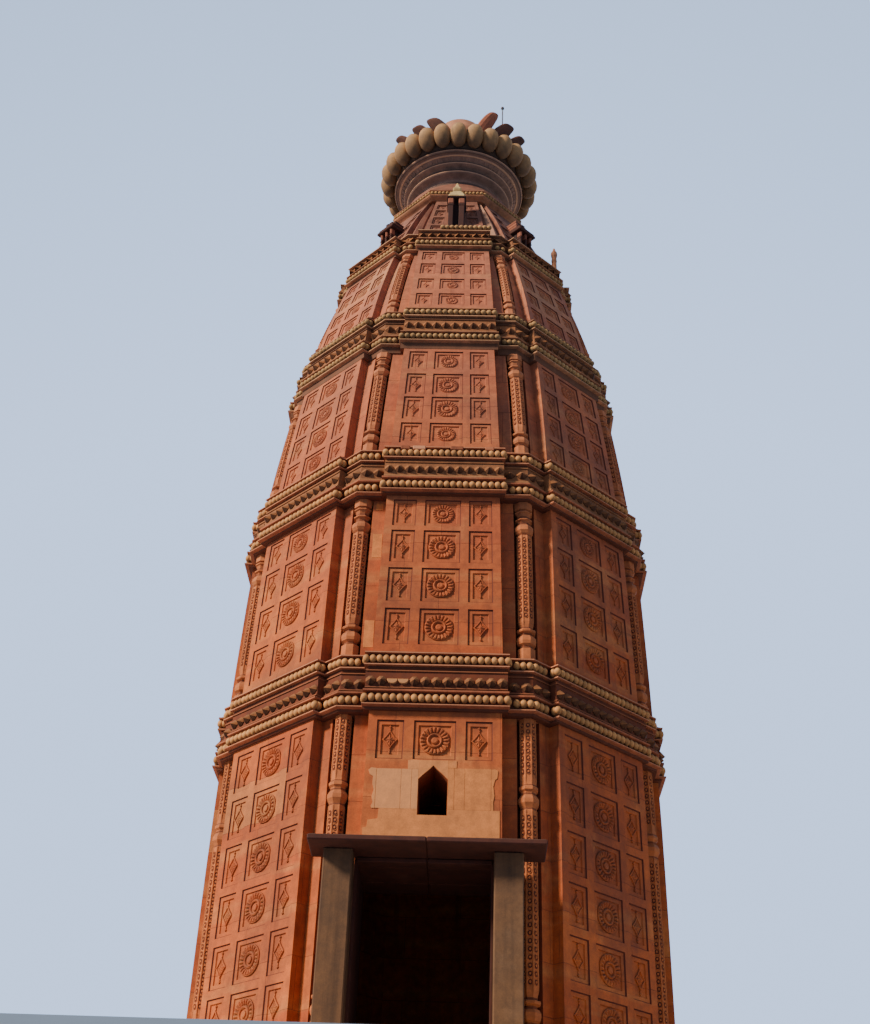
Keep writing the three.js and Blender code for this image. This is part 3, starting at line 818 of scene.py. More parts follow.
class Carving:
    """Small carved forms, made once: local x right, y up and z out of the wall."""

    TALL = np.array([1.0, 1.22, 1.0])
    HOLLOWNESS = 0.9
    ROSETTE_RADIUS = 0.232
    PANEL_WIDTH = 0.256
    PANEL_HEIGHT = 0.49
    STEM_PLACE = 0.18
    BUD_PLACE = 0.215

    def __init__(self) -> None:
        """Carves each form at full size."""
        self.rosette = self.make_rosette()
        self.lozenge = self.make_lozenge()
        self.bud = lofted([self.rhombus(0.024, 0.03, -0.004), self.rhombus(0.023, 0.029, 0.018),
                           self.rhombus(0.008, 0.01, 0.026)], foot=False)
        self.stem = block(-0.011, 0.011, -0.02, 0.02, -0.004, 0.016, 0.003)
        self.ring = self.make_ring()
        # Flat sheet inside the rim, stamped dark as the painted shade of the sunk ring.
        self.hole = lofted([circle(0.033, 0.0012, 8) * self.TALL, circle(0.017, 0.0014, 8) * self.TALL],
                           foot=False, head=False)
        self.button = lofted([circle(0.0175, 0.0, 8) * self.TALL, circle(0.0145, 0.011, 8) * self.TALL],
                             foot=False)

    @classmethod
    def rhombus(cls, half_width: float, half_height: float, z: float) -> np.ndarray:
        """Ring of a rhombus with slightly hollow sides.

        Args:
            half_width: Half its width.
            half_height: Half its height.
            z: Height over the wall.

        Returns:
            Sixteen points, every fourth one at a corner.
        """
        points = []
        for i in range(16):
            angle = i / 16 * 2.0 * math.pi
            x, y = math.cos(angle), math.sin(angle)
            reach = (abs(x) ** cls.HOLLOWNESS + abs(y) ** cls.HOLLOWNESS) ** (-1.0 / cls.HOLLOWNESS)
            points.append((reach * x * half_width, reach * y * half_height, z))
        return np.array(points)

    @staticmethod
    def make_rosette() -> Shape:
        """Rosette of 0.223 m radius: low rim, twenty petals, a round ring and a boss.

        Returns:
            The rosette.
        """
        petals = 20
        rows = ((0.223, -0.004, 0.0), (0.222, 0.02, 0.0), (0.213, 0.027, 0.004), (0.202, 0.038, 0.022),
                (0.172, 0.037, 0.03), (0.142, 0.024, 0.019), (0.122, 0.004, 0.0), (0.113, 0.027, 0.0),
                (0.1, 0.035, 0.0), (0.086, 0.026, 0.0), (0.078, 0.004, 0.0), (0.054, 0.003, 0.0),
                (0.048, 0.025, 0.0), (0.03, 0.031, 0.0))
        rings = []
        for radius, height, cut in rows:
            ring = circle(radius, height, petals * 3)
            ring[2::3, 2] -= cut
            rings.append(ring)
        rings.append(np.array([(0.0, 0.0, 0.029)]))
        return lofted(rings, foot=False)

    def make_lozenge(self) -> Shape:
        """Lozenge of 0.25 by 0.33 m: raised flat frame, sunk field and a star of eight points.

        Returns:
            The lozenge.
        """
        rows = ((1.0, -0.004, 0.0), (0.98, 0.02, 0.0), (0.92, 0.026, 0.0), (0.8, 0.026, 0.0),
                (0.75, 0.008, 0.0), (0.6, 0.008, 0.0), (0.54, 0.022, 0.012), (0.22, 0.028, 0.006))
        rings = []
        for share, height, cut in rows:
            ring = self.rhombus(0.125 * share, 0.165 * share, height)
            ring[1::2, 2] -= cut
            rings.append(ring)
        rings.append(np.array([(0.0, 0.0, 0.032)]))
        return lofted(rings, foot=False)

    def make_ring(self) -> Shape:
        """Thin raised rim, 0.08 m across, round a sunk ring and a button."""
        rows = ((0.04, -0.004), (0.038, 0.009), (0.032, 0.001))
        return lofted([circle(r, z, 8) * self.TALL for r, z in rows], foot=False, head=False)


CARVING = Carving()


@dataclass(frozen=True)
class Coffer:
    """One sunk panel of a bay, by shares of the bay's half width."""

    left: float
    right: float
    bottom: float
    top: float
    ornament: Ornament
    border: float = 0.063
    step: float = 0.021
    draft: float = 0.009
    groove: float = 0.017
    full_height: float = 0.6

    def carve(self, relief: Relief, face: int) -> None:
        """Adds the panel's steps, its floor and its ornament to a bay.

        Args:
            relief: Where they go.
            face: Number of the tower's face.
        """
        height = self.top - self.bottom
        size = min(1.0, height / self.full_height)
        border = self.border * size
        levels = ((0.0, 0.0), (self.draft, self.step), (self.groove * size, self.step),
                  (self.draft + border, self.step), (self.draft * 2 + border, self.step * 2))
        rings = []
        for inset, depth in levels:
            ring = []
            for share, z, sx, sz in ((self.left, self.bottom, 1, 1), (self.right, self.bottom, -1, 1),
                                     (self.right, self.top, -1, -1), (self.left, self.top, 1, -1)):
                level = z + sz * inset
                t = share * read(BAY_HALF, z) + sx * inset
                ring.append((*plan(face, bay(level) - depth, t), level))
            rings.append(np.array(ring))
        shape = lofted(rings, foot=False)
        # The outer step's walls and the narrow strip at its foot get painted shade, a dark line round the
        # coffer.
        groove_shade = [GROOVE_PAINTED_SHADE if i < 8 else 0.0 for i in range(len(shape.faces))]
        relief.put(shape.points, shape.faces, groove_shade)
        middle = (self.top + self.bottom) / 2
        half = read(BAY_HALF, middle)
        width = (self.right - self.left) * half - 2 * (border + 2 * self.draft)
        clear = height - 2 * (border + 2 * self.draft)
        t = (self.left + self.right) / 2 * half
        seat = seat_on(face, bay(middle) - 2 * self.step, t, middle, lean(middle))
        if self.ornament is Ornament.ROSETTE:
            relief.stamp(CARVING.rosette, seat.wall, min(width, clear) / 2 / Carving.ROSETTE_RADIUS)
            return
        scale = min(width / Carving.PANEL_WIDTH, clear / Carving.PANEL_HEIGHT)
        relief.stamp(CARVING.lozenge, seat.wall, scale)
        for sign in (-1.0, 1.0):
            for shape, far in ((CARVING.stem, Carving.STEM_PLACE), (CARVING.bud, Carving.BUD_PLACE)):
                shift = np.array([0.0, sign * far * scale, 0.0])
                relief.put(seat.wall(shape.points * scale + shift), shape.faces)


COLUMNS = ((-0.866, -0.461, Ornament.LOZENGE), (-0.312, 0.318, Ornament.ROSETTE),
           (0.459, 0.862, Ornament.LOZENGE))


def bay_line(face: int, z: float, proud: float, extra: Sequence[float] = ()) -> Outline:
    """Plan points across a raised bay with its coffer lines and extra places.

    Args:
        face: Number of the face.
        z: Height.
        proud: How far the bay stands before the wall.
        extra: Further places along the face, in metres.

    Returns:
        The points, from left to right seen from outside.
    """
    reach = bay(z)
    half = read(BAY_HALF, z)
    places = sorted([share * half for column in COLUMNS for share in column[:2]] + list(extra))
    line = [plan(face, reach - proud, -half), *(plan(face, reach, t) for t in (-half, *places, half))]
    return [*line, plan(face, reach - proud, half)]


def skin_levels(outlines: Sequence[Outline], heights: Sequence[float],
                skip: Skipped = frozenset()) -> Skin:
    """Skin between plan outlines stacked by height, closed at its foot and top.

    Args:
        outlines: Closed outlines of the same count, counter-clockwise from above.
        heights: Their heights.
        skip: Pairs of row and side that are left open.

    Returns:
        Points and faces.
    """
    count = len(outlines[0])
    points = np.array([(x, y, z) for outline, z in zip(outlines, heights) for x, y in outline])
    faces: list[Face] = []
    for row in range(len(heights) - 1):
        a, b = row * count, (row + 1) * count
        for i in range(count):
            if (row, i) not in skip:
                j = (i + 1) % count
                faces.append((a + i, a + j, b + j, b + i))
    last = (len(heights) - 1) * count
    faces.append(tuple(reversed(range(count))))
    faces.append(tuple(range(last, last + count)))
    return points, faces


def hollow_ring(z: float) -> list[tuple[float, float, float]]:
    """The eight corners of the tower's hollow at height z."""
    inner = read(HOLLOW, z)
    return [(*plan(face, inner, -inner * TAN), z) for face in range(FACES)]


def shell(outer: Sequence[list[tuple[float, float, float]]], heights: Sequence[float],
          skip: Skipped = frozenset()) -> Skin:
    """Closed shell round the whole tower, between rings outside and the hollow inside.

    Args:
        outer: Ring of points outside for each level, as many for each of the tower's faces.
        heights: Heights of the levels.
        skip: Pairs of row and side that are left open outside.

    Returns:
        Points, and faces row by row with the foot and the top last.
    """
    around = len(outer[0])
    per_face = around // FACES
    count = around + FACES
    points = np.array([point for ring, z in zip(outer, heights) for point in (*ring, *hollow_ring(z))])
    faces: list[Face] = []
    for row in range(len(heights) - 1):
        a, b = row * count, (row + 1) * count
        for i in range(around):
            if (row, i) not in skip:
                j = (i + 1) % around
                faces.append((a + i, a + j, b + j, b + i))
        a, b = a + around, b + around
        for i in range(FACES):
            j = (i + 1) % FACES
            faces.append((a + i, b + i, b + j, a + j))
    for base, order in ((0, -1), ((len(heights) - 1) * count, 1)):
        for face in range(FACES):
            following = (face + 1) % FACES
            ring = [base + face * per_face + i for i in range(per_face)]
            ring += [base + following * per_face, base + around + following, base + around + face]
            faces.append(tuple(ring[::order]))
    return points, faces


def wall_tones(faces: Sequence[Face], count: int, niches: set[int]) -> list[float]:
    """Tone of each face of a wall's skin of `count` points a level, with painted shade on the niches' sides.
    """
    # Niche sides get painted shade.
    return [NICHE_PAINTED_SHADE if len(face) == 4 and face[0] % count in niches else 0.0 for face in faces]


@dataclass(frozen=True)
class Storey:
    """A storey's wall: faces with raised bays, coffers and corner niches."""

    number: int
    foot: float
    top: float
    proud: float
    notch: tuple[float, float]
    ring: float
    rows: tuple[tuple[float, float], ...]

    def corner(self, corner: int, radius: float, side: int) -> Point:
        """Plan point on the joint at a corner, moved by half the gap into the piece."""
        return plan(corner - 0.5, radius, side * GAP / 2)

    def niche_back(self, z: float) -> float:
        """Distance from the axis to the back of a corner niche."""
        core = bay(z) - self.proud
        return core / COS - self.notch[0] * SIN - self.notch[1] * COS

    def outer_line(self, z: float, first: int, last: int, extra: Sequence[float] = ()) -> Outline:
        """Outer line of some of the faces at a height, from corner niche to corner niche.

        Args:
            z: Height.
            first: First face.
            last: Last face.
            extra: Further places along each bay.

        Returns:
            Plan points, counter-clockwise from above.
        """
        core = bay(z) - self.proud
        c = core * TAN - self.notch[0]
        back = self.niche_back(z)
        line = [self.corner(first, back, 1)]
        for face in range(first, last + 1):
            line += [plan(face, core - self.notch[1], -c), plan(face, core, -c)]
            line += bay_line(face, z, self.proud, extra)
            line += [plan(face, core, c), plan(face, core - self.notch[1], c)]
        return [*line, self.corner(last + 1, back, -1)]

    def outline(self, z: float, first: int, last: int) -> Outline:
        """Closed outline of some of the faces at a height, outside and inside.

        Args:
            z: Height.
            first: First face.
            last: Last face.

        Returns:
            Plan points, counter-clockwise from above.
        """
        inner = read(HOLLOW, z)
        inside = [self.corner(first, inner / COS, 1)]
        inside += [self.corner(corner, inner / COS, 0) for corner in range(first + 1, last + 1)]
        end = self.corner(last + 1, inner / COS, -1)
        if self.number == 1 and last == FACES - 1:
            inside.append((DOOR_LEFT, -inner * math.sqrt(2.0) - DOOR_LEFT))
            if z < DOOR_HEAD:
                end = (DOOR_LEFT, DOOR_LEFT / TAN)
        inside.append(end)
        return self.outer_line(z, first, last) + inside[::-1]

    def build(self, name: str, first: int, last: int, node: str) -> Piece:
        """Builds the wall over some of the faces as the piece that stands for a node.

        Args:
            name: Name of the piece.
            first: First face.
            last: Last face.
            node: Node that it replaces.

        Returns:
            The piece.
        """
        relief = Relief()
        heights = [self.foot, *(z for row in self.rows for z in row), self.top]
        if self.number == 1:
            heights = sorted([*heights, DOOR_HEAD - 0.0005, DOOR_HEAD])
        outlines = [self.outline(z, first, last) for z in heights]
        per_face = len(bay_line(0, self.foot, self.proud)) + 4
        skip: set[tuple[int, int]] = set()
        niches: set[int] = set()
        for index, face in enumerate(range(first, last + 1)):
            start = 1 + index * per_face
            niches |= {start - 1, start, start + per_face - 2, start + per_face - 1}
            for bottom, top in self.rows:
                open_rows = range(heights.index(bottom), heights.index(top))
                for column, (left, right, ornament) in enumerate(COLUMNS):
                    side = start + 4 + 2 * column
                    skip |= {(row, side) for row in open_rows}
                    Coffer(left, right, bottom, top, ornament).carve(relief, face)
        points, faces = skin_levels(outlines, heights, skip)
        relief.put(points, faces, wall_tones(faces, len(outlines[0]), niches))
        return relief.piece(name, WALL_STONE, node)


STOREYS = (
    Storey(1, PLINTH_TOP, 5.15, 0.2, (0.207, 0.2), 0.17,
           ((0.49, 1.14), (1.27, 1.92), (2.05, 2.7), (2.83, 3.48), (3.61, 4.26), (4.39, 5.04))),
    Storey(2, 6.18, 9.19, 0.19, (0.207, 0.2), 0.17,
           ((6.32, 6.98), (7.11, 7.75), (7.86, 8.49), (8.58, 9.11))),
    Storey(3, 10.25, 12.69, 0.17, (0.19, 0.18), 0.155,
           ((10.36, 10.83), (10.92, 11.46), (11.52, 12.04), (12.16, 12.62))),
    Storey(4, 13.82, 15.79, 0.15, (0.15, 0.14), 0.125,
           ((13.94, 14.3), (14.44, 14.78), (14.94, 15.31), (15.44, 15.74))),
)


@dataclass(frozen=True)
class FrontWall:
    """Front of the first storey: jambs, pale repair stones and the pointed window."""

    half: float = 0.217
    sill: float = 3.48
    shoulder: float = 4.04
    apex: float = 4.26
    coffers: tuple[float, float] = (4.36, 5.0)
    joints: tuple[float, float, float] = (3.57, 4.225, 4.345)
    bedded: float = 0.01
    stone_proud: float = 0.008
    patches: tuple[Limits, ...] = (
        (-1.16, -1.0, 8.04, 8.51), (-1.2, -1.04, 6.34, 6.84), (-1.14, -1.02, 9.0, 9.14))

    def head(self) -> Outline:
        """Pointed head of the window.

        Returns:
            Points along the bay and up, from the right shoulder to the left one.
        """
        right = [(self.half * (1.0 - share), self.shoulder + share * (self.apex - self.shoulder) - bow)
                 for share, bow in ((0.0, 0.0), (0.25, -0.004), (0.5, 0.0), (0.75, 0.003), (1.0, 0.0))]
        return right + [(-t, z) for t, z in reversed(right[:-1])]

    def outline(self, z: float) -> Outline:
        """Closed outline of the front, with the window's lines outside and inside.

        Args:
            z: Height.

        Returns:
            Plan points, counter-clockwise from above.
        """
        storey = STOREYS[0]
        window = (-self.half, 0.0, self.half)
        inner = read(HOLLOW, z)
        inside = [storey.corner(0, inner / COS, 1), *((t, -inner) for t in window),
                  storey.corner(1, inner / COS, -1)]
        return storey.outer_line(z, 0, 0, window) + inside[::-1]

    def build(self) -> list[Piece]:
        """Builds the wall over the doorway, its repair stones and the two jambs."""
        return [self.over_doorway(), *self.jambs(), self.repairs()]

    def over_doorway(self) -> Piece:
        """Builds the wall over the doorway, pierced by the window.

        Returns:
            The piece.
        """
        relief = Relief()
        heights = [DOOR_HEAD, self.sill, self.shoulder, self.apex, *self.coffers, STOREYS[0].top]
        outlines = [self.outline(z) for z in heights]
        count = len(outlines[0])
        coffer_row, window_rows = 4, (1, 2)
        panel_sides, window_sides = (5, 7, 8, 9, 10, 12), (8, 9, count - 4, count - 3)
        skip = {(coffer_row, side) for side in panel_sides}
        skip |= {(row, side) for row in window_rows for side in window_sides}
        points, faces = skin_levels(outlines, heights, skip)
        niches = {0, 1, count - 8, count - 7}
        relief.put(points, faces, wall_tones(faces, count, niches))
        for left, right, ornament in COLUMNS:
            Coffer(left, right, *self.coffers, ornament).carve(relief, 0)
        self.pierce(relief)
        return relief.piece("front_wall_over_doorway", WALL_STONE, "wall_1_over_doorway")

    def pierce(self, relief: Relief) -> None:
        """Adds the window's reveal, darkened with painted shade, and the wall beside its pointed head
        outside and inside.

        Args:
            relief: The wall.
        """
        # Painted shade inside the window's reveal.
        reveal_painted_shade = -0.35
        outer = [(-self.half, self.sill), (self.half, self.sill), *self.head()]
        near = [(*plan(0, bay(z), t), z) for t, z in outer]
        far = [(*plan(0, read(HOLLOW, z), t), z) for t, z in outer]
        n = len(outer)
        sides = [(i, (i + 1) % n, n + (i + 1) % n, n + i) for i in range(n)]
        relief.put(np.array(near + far), sides, reveal_painted_shade)
        curve = [*self.head()[:len(self.head()) // 2 + 1], (self.half, self.apex)]
        order = tuple(range(len(curve)))
        for reach, flip in ((bay, False), (lambda z: read(HOLLOW, z), True)):
            for sign in (1, -1):
                points = np.array([(*plan(0, reach(z), sign * t), z) for t, z in curve])
                relief.put(points, [order[::-1] if (sign == 1) != flip else order])

    def jambs(self) -> list[Piece]:
        """Builds the wall on each side of the doorway, behind the posts.

        Returns:
            The left piece and the right one.
        """
        heights = (PLINTH_TOP, DOOR_HEAD - GAP)
        storey = STOREYS[0]
        left, right = [], []
        for z in heights:
            reach = bay(z)
            core = reach - storey.proud
            c = core * TAN - storey.notch[0]
            niche = storey.notch[1] - core
            half = read(BAY_HALF, z)
            back = storey.niche_back(z)
            inner = read(HOLLOW, z)
            left.append([storey.corner(0, back, 1), (-c, niche), (-c, -core), (DOOR_LEFT, -core),
                         (DOOR_LEFT, DOOR_LEFT / TAN)])
            right.append([(DOOR_RIGHT, -reach), (half, -reach), (half, -core), (c, -core), (c, niche),
                          storey.corner(1, back, -1), storey.corner(1, inner / COS, -1),
                          (DOOR_RIGHT, -inner)])
        made = []
        # The left jamb, whose reveal is seen through the doorway, takes the dark slab finish as painted
        # shade.
        for name, outlines, finish in (("left", left, SLAB_STONE), ("right", right, CARVED_STONE)):
            relief = Relief()
            relief.put(*skin_levels(outlines, heights))
            made.append(relief.piece(f"front_{name}_jamb", finish, f"wall_1_{name}_jamb"))
        return made

    def repairs(self) -> Piece:
        """Builds the pale ashlar round the window, with ragged edges and thin joints, and patches.

        Returns:
            The piece.
        """
        relief = Relief()
        for outline, tone in self.ragged_stones() + self.squared_stones():
            rings = [np.array([(*plan(0, bay(z) + out, t), z) for t, z in outline])
                     for out in (-self.bedded, self.stone_proud)]
            relief.stamp(lofted(rings, foot=False), tone=tone)
        for t0, t1, z0, z1 in self.patches:
            middle = (z0 + z1) / 2
            place = seat_on(0, bay(middle) - STOREYS[1].proud, (t0 + t1) / 2, middle, lean(middle))
            w, h = (t1 - t0) / 2, (z1 - z0) / 2
            relief.stamp(block(-w, w, -h, h, -0.02, 0.004, 0.002), place.wall)
        return relief.piece("front_repair_ashlar", BUFF_STONE)

    def ragged_stones(self) -> list[tuple[Outline, float]]:
        """Repair stones with ragged outer edges, and the one over the window's head.

        Returns:
            Outlines along the bay and up, each with its tone.
        """
        half = self.reveal()
        low, mid = DOOR_HEAD + 0.1, self.joints[0]
        top = self.joints[-1]
        lintel = [(-1.01, low), (1.0, low), (1.0, mid), (half, mid), (half, self.sill), (-half, self.sill),
                  (-half, mid), (-0.79, mid), (-0.8, 3.41), (-0.945, 3.385), (-0.955, 3.28), (-1.01, 3.26)]
        left_edge = [(-0.853, mid), (-0.853, 4.2), (-0.93, 4.21), (-0.975, 4.17), (-0.95, 4.1),
                     (-0.9, 4.07), (-0.905, 3.95), (-0.88, 3.86), (-0.905, 3.75), (-0.885, 3.66),
                     (-0.91, 3.6), (-0.9, mid)]
        right_edge = [(0.87, mid), (0.905, mid), (0.9, 3.7), (0.918, 3.8), (0.9, 3.95), (0.925, 4.05),
                      (0.96, 4.08), (0.97, 4.2), (0.92, 4.225), (0.87, 4.215)]
        chip = [(-0.385, 4.2), (-half, 4.2), (-half, top), (-0.33, 4.35), (-0.385, 4.335)]
        rise = half - self.half
        arch = [(t * (1.0 + rise / self.half), z + rise) for t, z in reversed(self.head())]
        over = [(half, top), (-half, top), *arch]
        return [(lintel, 0.05), (left_edge, 0.3), (right_edge, 0.0), (chip, 0.2), (over, 0.1)]

    def squared_stones(self) -> list[tuple[Outline, float]]:
        """Repair stones beside the window, with thin joints between them.

        Returns:
            Outlines along the bay and up, each with its tone.
        """
        half = self.reveal()
        low, middle, top = self.joints
        rows = ((low, 4.2, (-0.85, -0.479, -0.322, -half), 0.35),
                (low, middle, (half, 0.318, 0.473, 0.868), -0.05), (middle, top, (half, 0.35), 0.0))
        gap = 0.0018
        made = []
        for z0, z1, places, tone in rows:
            bottom, top = z0 + gap, z1 - gap
            for t0, t1 in zip(places, places[1:]):
                left, right = t0 + gap, t1 - gap
                made.append(([(left, bottom), (right, bottom), (right, top), (left, top)], tone))
        return made

    def reveal(self) -> float:
        """Half the opening left between the repair stones, just clear of the window."""
        return self.half + 0.004


class Level(NamedTuple):
    """One level of a ring with raised bays: its height, the reach of bays and wall, half a bay's width."""

    z: float
    reach: float
    core: float
    half: float

    def moved(self, z: float, out: float, half: float) -> "Level":
        """The level moved up and outward, with its bays wider."""
        return Level(self.z + z, self.reach + out, self.core + out, self.half + half)


def ring_of_bays(relief: Relief, levels: Sequence[Level]) -> None:
    """Adds a full ring with raised bays, with painted shade in its recesses and a painted highlight on its
    outermost edges.

    Args:
        relief: Where the ring goes.
        levels: Its levels, going up.
    """
    outer = [[(*plan(face, a, t), z) for face in range(FACES) for a, t in (
        (core, -core * TAN), (core, -half), (reach, -half), (reach, half), (core, half))]
             for z, reach, core, half in levels]
    points, faces = shell(outer, [level.z for level in levels])
    recess = max(level.reach for level in levels) - 0.045
    edge = recess + 0.041
    tones: list[float] = []
    for lower, upper in zip(levels, levels[1:]):
        low, high = sorted((lower.reach, upper.reach))
        # Rows sunk well behind the front get painted shade; the outermost rows get a painted highlight.
        tone = RECESS_PAINTED_SHADE if high < recess else EDGE_PAINTED_HIGHLIGHT if low > edge else 0.0
        tones += [tone] * (len(outer[0]) + FACES)
    tones += [0.0] * (len(faces) - len(tones))
    relief.put(points, faces, tones)


@dataclass(frozen=True)
class Cornice:
    """A cornice: soffit and lower balls, a band of pointed bosses, upper balls and a top slab."""

    number: int
    base: float
    top: float
    lower: Level
    upper: Level
    balls: tuple[int, int]
    bosses: int
    sag: float = 0.0
    spread: float = 0.037
    seat: float = -0.025
    tuck: float = 0.015
    worn_stones: tuple[tuple[float, float, float], ...] = (
        (-0.55, -0.33, 0.6), (-0.76, -0.6, -0.3), (0.1, 0.32, -0.2), (0.7, 0.85, 0.1))
    pinnacle: Table = (
        (0.0, 0.0), (0.066, 0.0), (0.07, 0.05), (0.056, 0.12), (0.054, 0.3), (0.062, 0.34), (0.054, 0.38),
        (0.054, 0.44), (0.066, 0.48), (0.07, 0.54), (0.062, 0.58), (0.036, 0.62), (0.02, 0.69), (0.0, 0.7))

    def between(self, z: float, out: float) -> Level:
        """One level of the band, between the two rows of balls.

        Args:
            z: Height over the lower balls.
            out: How far it stands before the line between the rows.

        Returns:
            The level.
        """
        share = z / (self.upper.z - self.lower.z)
        line = Level(*(a + (b - a) * share for a, b in zip(self.lower, self.upper)))
        return line.moved(0.0, out, -self.tuck)

    @staticmethod
    def slab(line: Level, bottom: float, top: float, out: float) -> list[Level]:
        """Thin slab with a rounded nosing over a sloping underside.

        Args:
            line: Line of the balls' middles.
            bottom: Its underside, over that line.
            top: Its top, over that line.
            out: How far its nosing stands out.

        Returns:
            Its levels, going up.
        """
        tall = top - bottom
        return [line.moved(z, out + shift, 0.01 + shift) for z, shift in (
            (bottom, -0.062), (bottom + tall * 0.5, -0.058), (bottom + tall * 0.54, -0.006),
            (bottom + tall * 0.6, 0.0), (top - 0.008, 0.0), (top - 0.002, -0.006), (top, -0.02))]

    def trim(self) -> Stone:
        """Finish of the slabs."""
        return TRIM_STONE if self.number < 3 else WORN_TRIM

    def ochre(self) -> Stone:
        """Finish of the balls and bosses."""
        return OCHRE_STONE if self.number < 3 else WORN_OCHRE

    def build(self, storey: Storey, following: Storey | None) -> list[Piece]:
        """Builds the courses, the balls and the bosses, and what stands on the top course.

        Args:
            storey: Storey under the cornice.
            following: Storey above, or None where the short fifth storey stands.

        Returns:
            The pieces.
        """
        n = self.number
        band = Relief()
        tall = self.upper.z - self.lower.z - 0.26
        ring_of_bays(band, [self.between(0.11 + z, self.seat + out) for z, out in (
            (0.0, 0.0), (0.03, 0.0), (0.033, 0.018), (0.05, 0.018), (0.053, 0.0), (tall - 0.053, 0.0),
            (tall - 0.05, 0.018), (tall - 0.033, 0.018), (tall - 0.03, 0.0), (tall, 0.0))])
        ground = BAND_STONE if n == 1 else BAND_OCHRE
        made = [self.lower_course(storey)]
        made.append(band.piece(f"cornice_{n}_band", ground, f"cornice_{n}_jewel_band"))
        made.append(self.top_course(following))
        if following:
            made.append(Colonettes(following, self.top).build())
        beads = Relief()
        for high in (False, True):
            self.string(beads, high)
        made.append(beads.piece(f"cornice_{n}_balls", self.ochre()))
        jewels = Relief()
        self.points(jewels)
        made.append(jewels.piece(f"cornice_{n}_bosses", BOSS_STONE))
        return made

    def lower_course(self, storey: Storey) -> Piece:
        """Builds the hollow soffit, lip, seat of the lower balls and the slab over them.

        Args:
            storey: Storey under the cornice.

        Returns:
            The piece.
        """
        n = self.number
        reach = bay(self.base)
        wall = Level(self.base, reach, reach - storey.proud, read(BAY_HALF, self.base))
        soffit = self.lower.moved(0.0, -0.02, 0.0)._replace(z=self.base + 0.002)
        lip = [self.lower.moved(z - self.sag, out, spread) for z, out, spread in (
            (-0.15, -0.012, 0.0), (-0.143, 0.03, 0.012), (-0.136, 0.052, 0.016), (-0.128, 0.058, 0.02),
            (-0.115, 0.058, 0.02), (-0.109, 0.05, 0.016), (-0.106, self.seat, -self.tuck),
            (0.06, self.seat, -self.tuck))]
        relief = Relief()
        ring_of_bays(relief, [wall, soffit, *lip, *self.slab(self.lower, 0.06 - self.sag, 0.11, 0.035)])
        return relief.piece(f"cornice_{n}_soffit", self.trim(), f"cornice_{n}_lower_course")

    def top_course(self, following: Storey | None) -> Piece:
        """Builds the seat of the upper balls between two slabs, or what is left of it.

        Args:
            following: Storey above, or None where the short fifth storey stands.

        Returns:
            The piece.
        """
        relief = Relief()
        slab = self.slab(self.upper, -0.15, -0.088, 0.035)
        if following is None:
            ring_of_bays(relief, [*slab, self.upper.moved(-0.08, self.seat, -self.tuck)])
            self.remains(relief)
            return relief.piece("cornice_4_top", self.trim(), "cornice_4_top_course")
        shelf = bay(self.top) + 0.01
        edge = 0.038 if self.number < 3 else 0.0
        seat = [self.upper.moved(z, self.seat, -self.tuck) for z in (-0.087, 0.06)]
        last = Level(self.top, shelf, shelf - following.proud, read(BAY_HALF, self.top) + 0.01)
        ring_of_bays(relief, [*slab, *seat, *self.slab(self.upper, 0.06, 0.12, edge), last])
        if self.number == 2:
            front = -self.upper.reach - edge
            low, high = self.upper.z + 0.05, self.upper.z + 0.128
            for t0, t1, tone in self.worn_stones:
                stone = block(t0, t1, front - 0.008, front + 0.1, low, high, 0.01)
                relief.stamp(stone, before(0), tone=tone)
        node = f"cornice_{self.number}_top_course_and_colonettes_{self.number + 1}"
        return relief.piece(f"cornice_{self.number}_top", self.trim(), node)

    def remains(self, relief: Relief) -> None:
        """Adds what stands on the worn fourth cornice: blocks of its upper row, rubble and pinnacles.

        Args:
            relief: The worn top course.
        """
        foot = self.top - 0.01
        back = -2.2
        reach = self.upper.reach + self.seat
        joint = self.upper.z + 0.025
        for face, left, right in ((0, -0.235, 0.715), (4, -0.715, 0.715)):
            place = before(face)
            relief.stamp(block(left, right, -reach, -2.19, foot, joint + 0.005, 0.006), place)
            relief.stamp(block(left + 0.02, right, -reach - 0.02, back, joint, 16.5, 0.012), place)
        relief.stamp(block(-0.6, -0.25, -reach, back, foot, 16.41, 0.02), before(0), tone=-0.3)
        rng = np.random.default_rng(7)
        for face in (1, 2, 5, 6, 7):
            place = before(face)
            t = -0.7
            while t < 0.6:
                width = float(rng.uniform(0.1, 0.3))
                if rng.random() < 0.62:
                    deep = float(rng.uniform(2.28, 2.37))
                    high = float(rng.uniform(16.38, 16.46))
                    relief.stamp(block(t, t + width, -deep, back, foot, high, 0.02), place, tone=-0.2)
                t += width + 0.03
        pinnacle = turned(self.pinnacle, 10)
        for face, side in ((1, 1), (3, -1), (3, 1), (4, -1), (4, 1), (5, -1), (5, 1)):
            relief.stamp(pinnacle, seat_on(face, 2.29, side * 0.67, foot).stand)

